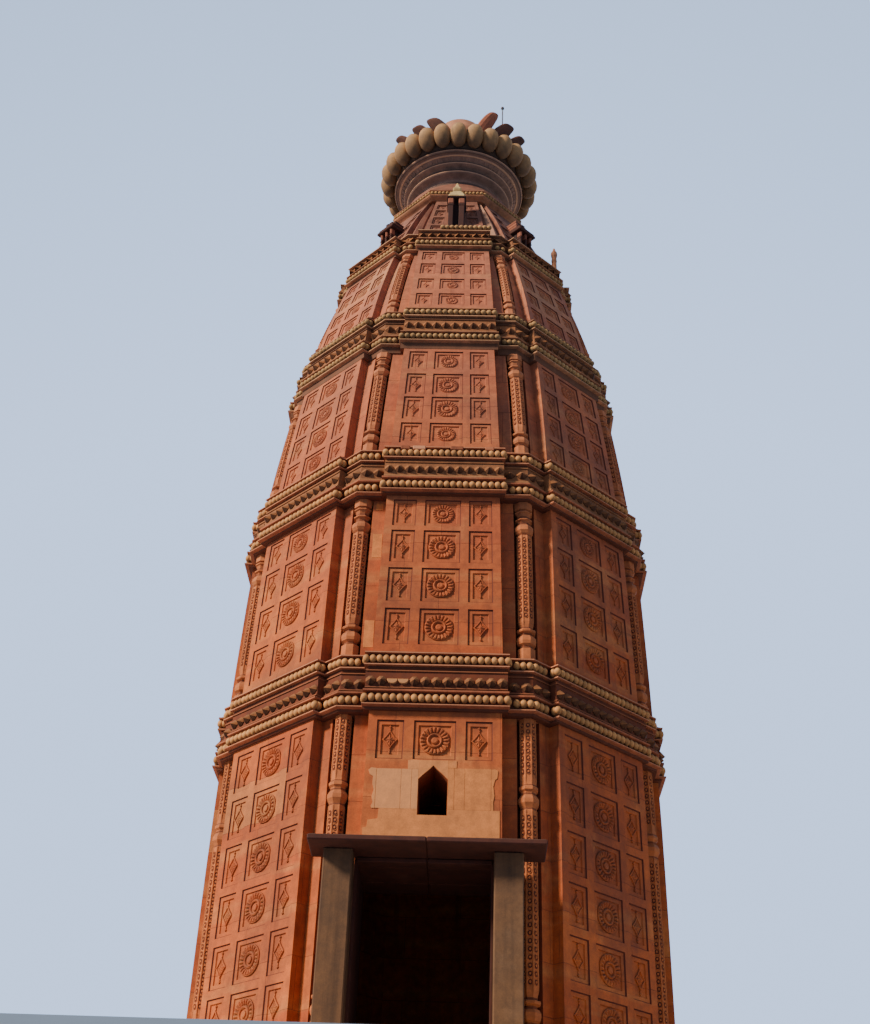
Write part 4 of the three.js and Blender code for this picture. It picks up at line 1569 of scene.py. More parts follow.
    def string(self, relief: Relief, high: bool) -> None:
        """Adds a row of balls round the tower, following the raised bays.

        Args:
            relief: Where the balls go.
            high: Whether it is the upper row.
        """
        line = self.upper if high else self.lower
        half = line.half + self.spread
        z = line.z - (0.0 if high else self.sag)
        count = self.balls[high]
        pitch = 2 * half / count
        stone = ball(pitch * 0.53)
        tall = np.array([1.0, 1.0, 1.24 if self.number < 3 else 1.04])
        side = line.core * TAN - half
        first = half + pitch * 0.35
        spare = max(1, round(side / pitch - 0.35))
        for face in range(FACES):
            if self.number == 4 and high and face not in (0, 4):
                continue
            places = [(line.reach, (i + 0.5) * pitch - half) for i in range(count)]
            if self.number == 4 and high:
                places = [(a, t) for a, t in places if face == 4 or t > -0.25]
            else:
                for sign in (-1, 1):
                    places += [(line.core, sign * (first + (i + 0.5) * (side - pitch * 0.35) / spare))
                               for i in range(spare)]
                    if line.reach - line.core > pitch * 1.1:
                        places.append(((line.reach + line.core) / 2, sign * (half - pitch * 0.4)))
            for a, t in places:
                relief.put(seat_on(face, a, t, z).stand(stone.points * tall), stone.faces, smooth=True)

    def points(self, relief: Relief) -> None:
        """Adds the band of pointed bosses.

        Args:
            relief: Where the bosses go.
        """
        z0, z1 = self.lower.z + 0.11, self.upper.z - 0.15
        z = (z0 + z1) / 2 - (0.03 if self.number == 1 else 0.0)
        high = min(0.15, z1 - z0 - 0.13)
        middle = Level(*((a + b) / 2 for a, b in zip(self.lower, self.upper)))
        _, reach, core, half = middle.moved(0.0, self.seat, -self.tuck)
        pitch = 2 * half / self.bosses
        slope = (self.upper.reach - self.lower.reach) / (self.upper.z - self.lower.z)
        for face in range(FACES):
            for i in range(self.bosses):
                t = (i + 0.5) * pitch - half
                broken = self.number == 1 and face == 0 and i in (2, 3)
                self.boss(relief, seat_on(face, reach, t, z, slope), pitch, high, broken)
            for sign in (-1, 1):
                span = core * TAN - half
                count = max(1, round(span / pitch))
                for i in range(count):
                    t = sign * (half + (i + 0.5) * span / count)
                    self.boss(relief, seat_on(face, core, t, z, slope), span / count, high, False)

    @staticmethod
    def boss(relief: Relief, seat: Seat, pitch: float, high: float, broken: bool) -> None:
        """Adds an eight-sided pointed boss on a low plinth, or its pale broken stump.

        Args:
            relief: Where the boss goes.
            seat: Middle of the boss on the band.
            pitch: Width between the bosses.
            high: Height of the plinth.
            broken: Whether only the stump is left.
        """
        w, h = pitch * 0.45, high * 0.5
        if broken:
            arc = [(w * 1.15 * math.cos(a), -h * 1.1 * math.sin(a)) for a in np.linspace(0.0, math.pi, 8)]
            rings = [np.array([(x * s, y * s + h * 0.3, z) for x, y in arc[::-1]])
                     for s, z in ((1.0, -0.004), (0.96, 0.034), (0.86, 0.04))]
            relief.stamp(lofted(rings, foot=False), seat.wall, tone=0.6)
            return
        cut = w * 0.62
        rings = [rectangle(-w, w, -h, h, -0.004, cut), rectangle(-w, w, -h, h, 0.014, cut),
                 np.array([(0.0, -h * 0.12, 0.1)])]
        relief.stamp(lofted(rings, foot=False), seat.wall)


@dataclass(frozen=True)
class Colonettes:
    """Eight carved octagonal colonettes standing in a storey's corner niches."""

    storey: Storey
    foot: float
    shaft: float = 0.137
    full_ring: float = 0.17
    foot_rows: Table = (
        (0.15, -0.03), (0.15, 0.19), (0.14, 0.2), (0.096, 0.222), (0.112, 0.248), (0.155, 0.28),
        (0.169, 0.33), (0.165, 0.38), (0.14, 0.425), (0.1, 0.45), (0.1, 0.475), (0.155, 0.5),
        (0.163, 0.52), (0.155, 0.545), (0.108, 0.565), (0.112, 0.59), (0.137, 0.69))
    knot_rows: Table = (
        (0.137, 3.3), (0.12, 3.33), (0.14, 3.37), (0.168, 3.42), (0.168, 3.48), (0.14, 3.53), (0.12, 3.56),
        (0.125, 3.6), (0.155, 3.63), (0.155, 3.67), (0.13, 3.7), (0.137, 3.82))
    head_rows: Table = (
        (0.137, -0.66), (0.102, -0.64), (0.135, -0.61), (0.168, -0.56), (0.168, -0.5), (0.14, -0.45),
        (0.1, -0.42), (0.098, -0.395), (0.125, -0.36), (0.152, -0.35), (0.152, -0.33), (0.112, -0.315),
        (0.106, -0.27), (0.132, -0.215), (0.158, -0.2), (0.158, -0.18), (0.128, -0.168), (0.13, -0.15),
        (0.162, -0.14), (0.162, 0.0))

    def scale(self) -> float:
        """Size of the colonette, one being the first storey's."""
        return self.storey.ring / self.full_ring

    def top(self) -> float:
        """Height of the colonette's top."""
        return self.storey.top - GAP

    def centre(self, z: float) -> float:
        """Distance from the tower's axis to the colonettes' middle line."""
        return self.storey.niche_back(max(z, self.storey.foot)) + self.storey.ring + GAP

    def profile(self) -> Outline:
        """The turned profile of one colonette.

        Returns:
            Rows of radius and height, from the foot up.
        """
        s = self.scale()
        top = self.top()
        first = self.storey.number == 1
        foot = self.foot_rows + self.knot_rows if first else self.foot_rows
        head = ((self.shaft, 0.0),) if first else self.head_rows
        rows = [(r * s, self.foot + z * s) for r, z in foot]
        middle = [(self.shaft * s, z) for low, high in self.storey.rows for z in (low, high)
                  if rows[-1][1] + 0.05 < z < top - 0.7 * s]
        return rows + middle + [(r * s, top + z * s) for r, z in head]

    def spans(self) -> Outline:
        """Heights between which the shaft carries rings.

        Returns:
            Pairs of foot and head.
        """
        s = self.scale()
        if self.storey.number == 1:
            return [(self.foot + 0.74, self.foot + 3.24), (self.foot + 3.86, self.top() - 0.06)]
        return [(self.foot + 0.74 * s, self.top() - 0.7 * s)]

    def build(self) -> Piece:
        """Builds the eight colonettes and their rings as one piece.

        Returns:
            The piece.
        """
        relief = Relief()
        s = self.scale()
        pitch = 0.112 * s
        for corner in range(FACES):
            turn = corner - 0.5
            rings = []
            for radius, z in self.profile():
                sunk = 0.007 * s if abs(radius - self.shaft * s) < 1e-6 else 0.0
                rings.append(seat_on(turn, self.centre(z), 0.0, z).stand(self.section(radius, sunk)))
            relief.stamp(lofted(rings))
            self.collars(relief, turn)
            for low, high in self.spans():
                count = max(1, round((high - low) / pitch))
                for i in range(count):
                    self.ring(relief, turn, low + (i + 0.5) * (high - low) / count)
        return relief.piece(f"colonettes_{self.storey.number}", SHAFT_STONE)

    def collars(self, relief: Relief, turn: float) -> None:
        """Adds hollows between the rings of the foot and the head, darkened as painted shade.

        Args:
            relief: Where they go.
            turn: Corner of the tower as a number of faces.
        """
        s = self.scale()
        hollows = [(0.114, self.foot + 0.235 * s, 0.02), (0.108, self.foot + 0.462 * s, 0.018),
                   (0.116, self.foot + 0.578 * s, 0.014)]
        if self.storey.number == 1:
            hollows += [(0.126, self.foot + 3.33 * s, 0.014), (0.126, self.foot + 3.57 * s, 0.014),
                        (0.134, self.foot + 3.7 * s, 0.012)]
        else:
            hollows += [(0.11, self.top() - 0.64 * s, 0.014), (0.108, self.top() - 0.407 * s, 0.02),
                        (0.115, self.top() - 0.29 * s, 0.024), (0.134, self.top() - 0.16 * s, 0.012)]
        for radius, z, half in hollows:
            rings = [seat_on(turn, self.centre(z + d * s), 0.0, z + d * s).stand(circle(r * s, 0.0, 8))
                     for d, r in ((-half, radius - 0.012), (-half * 0.8, radius), (half * 0.8, radius),
                                  (half, radius - 0.012))]
            # The hollows get painted shade.
            relief.stamp(lofted(rings, foot=False, head=False), tone=-0.7)

    @staticmethod
    def section(radius: float, sunk: float) -> np.ndarray:
        """Octagon whose flats are sunk between thin fillets at its corners.

        Args:
            radius: Distance from the middle to the corners.
            sunk: How deep the flats are sunk.

        Returns:
            Forty points, five for each corner.
        """
        corners = circle(radius, 0.0, 8)
        points = []
        for here, following in zip(corners, np.roll(corners, -1, axis=0)):
            inward = -(here + following)
            inward = inward / np.linalg.norm(inward) * sunk
            points += [here, here * 0.86 + following * 0.14, here * 0.82 + following * 0.18 + inward,
                       here * 0.18 + following * 0.82 + inward, here * 0.14 + following * 0.86]
        return np.array(points)

    def ring(self, relief: Relief, turn: float, z: float) -> None:
        """Adds carved rings on the four outward flats at one height.

        Args:
            relief: Where they go.
            turn: Corner of the tower as a number of faces.
            z: Height.
        """
        s = self.scale()
        origin = seat_on(turn, self.centre(z), 0.0, z).origin
        for flat in (-1.5, -0.5, 0.5, 1.5):
            facing = seat_on(turn + flat, 0.0, 0.0, z, lean(z))
            place = replace(facing, origin=origin + facing.out * (self.shaft * COS - 0.007) * s)
            relief.stamp(CARVING.ring, place.wall, s)
            # The sheet inside each rim gets painted shade.
            relief.stamp(CARVING.hole, place.wall, s, GROOVE_PAINTED_SHADE)
            relief.stamp(CARVING.button, place.wall, s)


@dataclass(frozen=True)
class Aedicule:
    """Small niche on the slope of the fifth storey: base, posts, back, eave and a pointed roof."""

    face: int
    whole: bool
    foot: float = 16.45
    base_top: float = 16.64
    front: float = 2.1
    back: float = 1.6
    shift: float = 0.018
    posts: Table = ((-0.175, -0.055), (0.045, 0.175))
    thin_posts: Table = ((-0.175, -0.115), (-0.03, 0.03), (0.115, 0.175))
    roof_rows: Table = (
        (0.04, 0.17), (0.085, 0.17), (0.09, 0.198), (0.13, 0.198), (0.18, 0.176), (0.24, 0.148),
        (0.3, 0.116), (0.345, 0.084), (0.375, 0.058), (0.39, 0.076), (0.43, 0.09), (0.47, 0.072),
        (0.51, 0.044), (0.57, 0.03), (0.64, 0.01))

    def place(self) -> Placing:
        """Carries points given as right, inward from the axis and up to the aedicule's face."""
        return seat_on(self.face, 0.0, self.shift, 0.0).stand

    def head(self) -> float:
        """Height of the posts' heads."""
        return 17.57 if self.whole else 17.15

    def carve(self, relief: Relief, roofs: Relief) -> None:
        """Adds the body to one piece and the pale roof to another.

        Args:
            relief: Where the body goes.
            roofs: Where the roof goes.
        """
        place = self.place()
        head = self.head()
        front, back, sill = -self.front, -self.back, 16.63
        relief.stamp(block(-0.19, 0.19, front - 0.01, back, self.foot, 16.56), place)
        relief.stamp(block(-0.178, 0.178, front + 0.005, back, 16.55, self.base_top), place)
        for x0, x1 in self.posts if self.whole else self.thin_posts:
            for bottom, top, inset, cut, tone in (
                    (sill, head - 0.02, 0.008, 0.01, 0.0), (sill, 16.72, 0.0, 0.012, 0.0),
                    (head - 0.16, head + 0.005, 0.0, 0.02, 0.5),
                    (head - 0.21, head - 0.175, 0.0, 0.008, 0.0)):
                post = block(x0 + inset, x1 - inset, front + inset, -1.98, bottom, top, cut)
                relief.stamp(post, place, tone=tone)
        # The back of the niche gets painted shade.
        relief.stamp(block(-0.17, 0.17, -1.985, back, sill, head + 0.005), place, tone=RECESS_PAINTED_SHADE)
        if self.whole:
            self.roof(relief, roofs)
        else:
            self.broken_eave(relief)

    def roof(self, relief: Relief, roofs: Relief) -> None:
        """Adds the eave, its dentils and a pointed roof with curved sides.

        Args:
            relief: Where the eave goes.
            roofs: Where the dentils and the roof go.
        """
        place, head = self.place(), self.head()
        relief.stamp(block(-0.2, 0.2, -self.front - 0.02, -self.back, head, head + 0.05), place, tone=-0.2)
        for i in range(7):
            x = -0.138 + i * 0.046
            roofs.stamp(block(x - 0.014, x + 0.014, -2.02, -1.98, head + 0.045, head + 0.09, 0.004), place)
        rings = [rectangle(-h, h, -1.86 - h, -1.86 + h, head + z, h * 0.25) for z, h in self.roof_rows]
        roofs.stamp(lofted(rings), place)

    def broken_eave(self, relief: Relief) -> None:
        """Adds a thick slab that lost its roof, with loose courses on it.

        Args:
            relief: Where they go.
        """
        place, head = self.place(), self.head()
        front, back = -self.front, -self.back
        relief.stamp(block(-0.24, 0.24, front - 0.04, back, head, head + 0.06), place)
        relief.stamp(block(-0.22, 0.235, front - 0.015, back, head + 0.055, head + 0.13, 0.02), place)
        rng = np.random.default_rng(self.face)
        top = head + 0.12
        for _ in range(4):
            t = -0.16
            high = float(rng.uniform(0.05, 0.08))
            while t < 0.08:
                width = float(rng.uniform(0.06, 0.13))
                deep = float(rng.uniform(0.0, 0.06))
                stone = block(t, t + width, -1.98 + deep, back, top, top + high, 0.008)
                relief.stamp(stone, place, tone=float(rng.uniform(-0.4, 0.6)))
                t += width + 0.004
            top += high


@dataclass(frozen=True)
class FifthStorey:
    """Steep wall under the crown, with small panels, aedicules and raised corner ribs."""

    foot: float = 16.36
    top: float = 18.24
    proud: float = 0.12
    rib_share: float = 0.45
    rows: Table = ((16.56, 16.9), (16.98, 17.3), (17.38, 17.68), (17.76, 18.0))
    columns: Table = ((-0.86, -0.42), (0.42, 0.86))
    aedicules: tuple[tuple[int, bool], ...] = (
        (0, True), (3, True), (4, True), (5, True), (1, False), (7, False))

    def build(self) -> list[Piece]:
        """Builds the wall with its panels, its ribs and the aedicules.

        Returns:
            The pieces.
        """
        made = [self.wall()]
        niches, roofs = Relief(), Relief()
        for face, whole in self.aedicules:
            Aedicule(face, whole).carve(niches, roofs)
        made += [niches.piece("aedicules", NICHE_STONE), roofs.piece("aedicule_roofs", PALE_STONE)]
        return [*made, self.ribs()]

    def wall(self) -> Piece:
        """Builds the wall and its panels.

        Returns:
            The piece.
        """
        relief = Relief()
        heights = [self.foot, *(z for row in self.rows for z in row), self.top]
        outer = []
        for z in heights:
            reach = bay(z)
            core = reach - self.proud
            half = read(BAY_HALF, z)
            lines = [(reach, share * half) for column in self.columns for share in column]
            outer.append([(*plan(face, a, t), z) for face in range(FACES) for a, t in (
                (core, -core * TAN), (core, -half), (reach, -half), *lines, (reach, half), (core, half),
                (core, (half + core * TAN) / 2))])
        per_face = len(outer[0]) // FACES
        panel_sides = (3, 5)
        skip = {(heights.index(bottom), face * per_face + side)
                for bottom, _ in self.rows for face in range(FACES) for side in panel_sides}
        relief.put(*shell(outer, heights, skip))
        for face in range(FACES):
            for low, high in self.rows:
                for left, right in self.columns:
                    Coffer(left, right, low, high, Ornament.LOZENGE, 0.035, 0.019).carve(relief, face)
        return relief.piece("fifth_storey_wall", UPPER_STONE, "wall_5_and_aedicules")

    def ribs(self) -> Piece:
        """Builds the raised ribs on the corners, one of them paler.

        Returns:
            The piece.
        """
        relief = Relief()
        for corner in range(FACES):
            rings = []
            for share in np.linspace(0.0, 1.0, 9):
                z = self.foot + 0.002 + (self.top - self.foot - 0.004) * share
                core = bay(z) - self.proud
                width = (core * TAN - read(BAY_HALF, z)) * (1 - self.rib_share)
                side = [(1.0, 0.02 + width * TAN), (0.9, -0.035 + width * TAN), (0.45, -0.05 + width * 0.2)]
                section = [(-width * across, inward, 0.0) for across, inward in side]
                section += [(0.0, -0.062, 0.0)]
                section += [(width * across, inward, 0.0) for across, inward in reversed(side)]
                rings.append(seat_on(corner - 0.5, core / COS, 0.0, z).stand(np.array(section)))
            relief.stamp(lofted(rings), tone=0.35 if corner == 1 else 0.0)
        return relief.piece("fifth_storey_ribs", UPPER_STONE)


@dataclass(frozen=True)
class BaseCourse:
    """Moulded plinth with the doorway's gap."""

    profile: Table = (
        (0.0, 0.105), (0.01, 0.11), (0.185, 0.11), (0.2, 0.1), (0.22, 0.07), (0.24, 0.06), (0.3, 0.06),
        (0.32, 0.07), (0.335, 0.06), (PLINTH_TOP, 0.01))
    post_back: float = 3.8 - GAP

    def build(self) -> Piece:
        """Builds the plinth over seven faces and its stubs beside the door.

        Returns:
            The piece.
        """
        relief = Relief()
        proud = STOREYS[0].proud
        outlines, left, right = [], [], []
        for z, out in self.profile:
            reach = bay(z) + out
            core = reach - proud
            half = read(BAY_HALF, z) + out
            inner = read(HOLLOW, z)
            line = []
            for face in range(1, FACES):
                line += [plan(face, core, -core * TAN), plan(face, core, -half), plan(face, reach, -half),
                         plan(face, reach, half), plan(face, core, half)]
            line.append(plan(FACES - 1, core, core * TAN))
            inside = [plan(face, inner, -inner * TAN) for face in range(1, FACES)]
            inside += [(DOOR_LEFT, -inner * math.sqrt(2.0) - DOOR_LEFT), (DOOR_LEFT, DOOR_LEFT / TAN)]
            outlines.append(line + inside[::-1])
            left.append([(-core * TAN, -core), (DOOR_LEFT, -core), (DOOR_LEFT, DOOR_LEFT / TAN)])
            right.append([(DOOR_RIGHT, -inner), (DOOR_RIGHT, -self.post_back), (half, -self.post_back),
                          (half, -core), (core * TAN, -core), (inner * TAN, -inner)])
        heights = [z for z, _ in self.profile]
        for lines in (outlines, left, right):
            relief.put(*skin_levels(lines, heights))
        return relief.piece("base_course", CARVED_STONE, "base_course_and_colonettes_1")


@dataclass(frozen=True)
class Leaf:
    """A broken petal: where it stands, its size and how it curls, with angles in degrees."""

    degrees: float
    half: float
    tilt: float
    length: float
    swing: float

    def shape(self, reach: float, foot: float) -> Shape:
        """The petal, curling out from a ring.

        Args:
            reach: Distance from the axis to its foot.
            foot: Height of its foot.

        Returns:
            The petal in the tower's frame.
        """
        rows = ((-0.03, 0.9, 0.08), (0.15, 0.98, 0.09), (0.35, 1.0, 0.092), (0.55, 0.98, 0.088),
                (0.75, 0.9, 0.08), (0.88, 0.8, 0.07), (0.96, 0.66, 0.058), (1.0, 0.46, 0.04))
        angles = np.arange(12) / 12 * 2.0 * math.pi
        belly = np.where(np.sin(angles) < 0.0, 1.0, 0.5)
        rings = []
        for share, width, depth in rows:
            bend = math.radians(self.tilt * (0.7 + 0.35 * share))
            out = math.sin(bend) * self.length * share
            up = math.cos(bend) * self.length * share
            turn = (self.degrees + self.swing * max(share, 0.0)) / 360.0 * FACES
            seat = seat_on(turn, reach + out, 0.0, foot + up, math.tan(bend))
            across, inward = self.half * width * np.cos(angles), depth * belly * np.sin(angles)
            rings.append(seat.stand(np.stack([across, inward, angles * 0.0], axis=1)))
        return lofted(rings)


@dataclass(frozen=True)
class Crown:
    """Bead course, skirt, moulded neck, ring of lobes, broken petals, dome and rod."""

    lobes: int = 28
    lobe_reach: float = 1.6
    lobe_size: tuple[float, float, float] = (0.196, 0.2, 0.305)
    lobe_middle: float = 19.962
    beads_per_face: int = 14
    bead_reach: float = 1.386
    bead_height: float = 18.392
    course: Table = (
        (18.24, 1.3), (18.262, 1.325), (18.285, 1.36), (18.31, 1.388), (18.33, 1.4), (18.345, 1.4),
        (18.35, 1.36), (18.433, 1.36), (18.438, 1.395), (18.452, 1.41), (18.464, 1.41), (18.47, 1.4))
    skirt_rows: Table = (
        (18.4702, 0.0), (18.49, 0.03), (18.52, 0.13), (18.57, 0.29), (18.63, 0.46), (18.69, 0.6),
        (18.76, 0.77), (18.83, 0.91), (18.8798, 1.0))
    skirt_foot: float = 1.4
    skirt_head: float = 1.18
    neck_rows: Table = (
        (0.0, 18.88), (1.0, 18.88), (0.985, 18.95), (0.98, 19.1), (0.99, 19.2), (1.02, 19.225), (1.1, 19.25),
        (1.145, 19.265), (1.158, 19.28), (1.16, 19.305), (1.15, 19.325), (1.11, 19.34), (1.07, 19.355),
        (1.065, 19.38), (1.08, 19.41), (1.13, 19.435), (1.2, 19.45), (1.228, 19.462), (1.235, 19.48),
        (1.23, 19.5), (1.21, 19.515), (1.205, 19.525), (1.225, 19.535), (1.32, 19.595), (1.35, 19.603),
        (1.43, 19.615), (1.448, 19.628), (1.45, 19.65), (1.445, 19.668), (1.42, 19.68), (1.4, 19.6898),
        (0.0, 19.6898))
    fillets: Table = ((1.165, 19.295), (1.24, 19.482), (1.352, 19.6), (1.455, 19.65))
    hollows: tuple[Limits, ...] = (
        (18.99, 19.16, 0.984, 0.984), (19.345, 19.42, 1.092, 1.098), (19.505, 19.532, 1.218, 1.224),
        (19.607, 19.617, 1.4, 1.434))
    marks: int = 64
    core: Table = (
        (0.0, 19.6901), (1.4, 19.6901), (1.46, 19.74), (1.52, 19.9), (1.52, 20.1), (1.46, 20.24),
        (1.42, 20.2698), (0.0, 20.2698))
    petal_seat: Table = (
        (1.185, 20.2702), (1.45, 20.2702), (1.46, 20.29), (1.44, 20.325), (1.4, 20.34), (1.185, 20.34))
    leaves: tuple[Leaf, ...] = (
        Leaf(35, 0.2, 35, 0.49, 9), Leaf(52, 0.17, 41, 0.46, 7), Leaf(-14, 0.19, 28, 0.39, -10),
        Leaf(-32, 0.18, 38, 0.35, -6), Leaf(-51, 0.16, 40, 0.42, -7), Leaf(84, 0.13, 38, 0.3, 8),
        Leaf(114, 0.16, 35, 0.44, 8), Leaf(137, 0.12, 38, 0.28, 8), Leaf(163, 0.15, 35, 0.38, 8),
        Leaf(-90, 0.15, 35, 0.4, -10), Leaf(-122, 0.11, 40, 0.26, -10), Leaf(-154, 0.16, 32, 0.47, -10))
    fresh_leaf: Leaf = Leaf(19, 0.17, 19, 0.63, 11)
    leaf_reach: float = 1.37
    leaf_foot: float = 20.3
    dome_rows: Table = (
        (0.0, 20.2702), (1.17, 20.2702), (1.178, 20.29), (1.175, 20.34), (1.163, 20.39), (1.135, 20.43),
        (1.08, 20.465), (0.97, 20.495), (0.85, 20.523), (0.76, 20.556), (0.7, 20.592), (0.65, 20.645),
        (0.62, 20.7), (0.61, 20.79), (0.62, 20.88), (0.637, 20.98), (0.65, 21.08), (0.654, 21.17),
        (0.649, 21.27), (0.634, 21.37), (0.608, 21.47), (0.57, 21.56), (0.518, 21.64), (0.45, 21.71),
        (0.37, 21.765), (0.28, 21.808), (0.19, 21.836), (0.1, 21.853), (0.0, 21.86))
    rod_rows: Table = (
        (0.0, 20.34), (0.03, 20.34), (0.03, 20.36), (0.014, 20.37), (0.0135, 21.66), (0.014, 21.69),
        (0.03, 21.7), (0.041, 21.73), (0.03, 21.76), (0.012, 21.77), (0.004, 21.788), (0.0, 21.79))
    rod_degrees: float = 52
    rod_reach: float = 1.24

    def build(self) -> list[Piece]:
        """Builds every part of the crown, from the bottom up."""
        return [self.bead_course(), self.beads(), self.skirt(), self.neck(), self.lobe_ring(),
                *self.petals(), self.dome(), self.rod()]

    def bead_course(self) -> Piece:
        """Builds the octagonal course under the crown.

        Returns:
            The piece.
        """
        relief = Relief()
        outer = [[(*plan(face, a, -a * TAN), z) for face in range(FACES)] for z, a in self.course]
        relief.put(*shell(outer, [z for z, _ in self.course]))
        return relief.piece("crown_bead_course", WORN_TRIM, "bead_course_5")

    def beads(self) -> Piece:
        """Builds the row of small beads under the skirt.

        Returns:
            The piece.
        """
        relief = Relief()
        half = self.bead_reach * TAN
        count = self.beads_per_face
        bead = ball(half / count * 0.98, 10, 6)
        for face in range(FACES):
            for i in range(count):
                t = ((i + 0.5) / count * 2 - 1) * half
                relief.stamp(bead, seat_on(face, self.bead_reach, t, self.bead_height).stand)
        return relief.piece("crown_beads", WORN_OCHRE)

    def skirt(self) -> Piece:
        """Builds the skirt that goes from the octagon to the round neck.

        Returns:
            The piece.
        """
        angles = np.arange(64) / 64 * 2.0 * math.pi
        local = (angles + EIGHTH / 2) % EIGHTH - EIGHTH / 2
        rings = []
        for z, share in self.skirt_rows:
            reach = self.skirt_foot / np.cos(local) * (1 - share) + self.skirt_head * share
            level = np.full(len(angles), z)
            rings.append(np.stack([reach * np.sin(angles), -reach * np.cos(angles), level], axis=1))
        return lone(lofted(rings), "crown_skirt", UPPER_STONE, "skirt_roof")

    def neck(self) -> Piece:
        """Builds the turned neck with fillets lightened as a painted highlight, hollows darkened as painted
        shade and a band of upright marks.

        Returns:
            The piece.
        """
        relief = Relief()
        sides = 96
        relief.stamp(turned(self.neck_rows, sides))
        # Fillets get a painted highlight.
        for r, z in self.fillets:
            rows = ((r - 0.03, z - 0.012), (r, z - 0.009), (r + 0.004, z), (r, z + 0.009),
                    (r - 0.03, z + 0.012))
            rings = [circle(radius, level, sides) for radius, level in rows]
            relief.stamp(lofted(rings, foot=False, head=False), tone=0.55)
        # Hollows get painted shade.
        for low, high, inner, outer in self.hollows:
            rows = ((inner - 0.02, low), (inner, low + 0.004), (outer, high - 0.004), (outer - 0.02, high))
            rings = [circle(radius, level, sides) for radius, level in rows]
            relief.stamp(lofted(rings, foot=False, head=False), tone=-0.8)
        mark = block(-0.02, 0.02, -0.012, 0.012, -0.036, 0.036, 0.004)
        for i in range(self.marks):
            relief.stamp(mark, seat_on(i * FACES / self.marks, 1.27, 0.0, 19.56, 1.5).stand)
        return relief.piece("crown_neck", NECK_STONE, "neck")

    def lobe_ring(self) -> Piece:
        """Builds the ring of egg-shaped lobes on a plain core darkened as painted shade.

        Returns:
            The piece.
        """
        relief = Relief()
        # The core between the lobes gets painted shade.
        relief.stamp(turned(self.core, 56), tone=-0.9)
        rows = 10
        rings = [np.array([(0.0, 0.0, -1.0)])]
        for i in range(1, rows):
            angle = (-0.5 + i / rows) * math.pi
            swell = 1.0 + 0.08 * math.sin(angle)
            rings.append(circle(math.cos(angle) * swell, math.sin(angle), 16))
        rings.append(np.array([(0.0, 0.0, 1.0)]))
        egg = lofted(rings, smooth=True)
        for i in range(self.lobes):
            seat = seat_on(i * FACES / self.lobes, self.lobe_reach, 0.0, self.lobe_middle, 0.14)
            wobble = 1.0 + 0.025 * math.sin(i * 2.3)
            points = egg.points * self.lobe_size * np.array([1.0, wobble, 1.0])
            relief.put(seat.stand(points), egg.faces, smooth=True)
        return relief.piece("crown_lobes", LOBE_STONE, "lobe_ring")

    def petals(self) -> list[Piece]:
        """Builds the broken lotus petals on their low ring, and the one in fresh red stone.

        Returns:
            The two pieces.
        """
        relief, fresh = Relief(), Relief()
        relief.stamp(turned(self.petal_seat, 56))
        for leaf in self.leaves:
            relief.stamp(leaf.shape(self.leaf_reach, self.leaf_foot))
        fresh.stamp(self.fresh_leaf.shape(self.leaf_reach, self.leaf_foot))
        return [relief.piece("crown_petals", PETAL_STONE, "petal_ring"),
                fresh.piece("crown_red_petal", FRESH_PETAL)]

    def dome(self) -> Piece:
        """Builds the bulb-shaped cap dome on its round pedestal."""
        return lone(turned(self.dome_rows, 64, smooth=True), "crown_dome", PLASTER, "cap_dome")

    def rod(self) -> Piece:
        """Builds the thin iron rod with its small ball."""
        return lone(turned(self.rod_rows, 12, smooth=True), "lightning_rod_shaft", IRON, "lightning_rod",
                    seat_on(self.rod_degrees / 360 * FACES, self.rod_reach, 0.0, 0.0).stand)


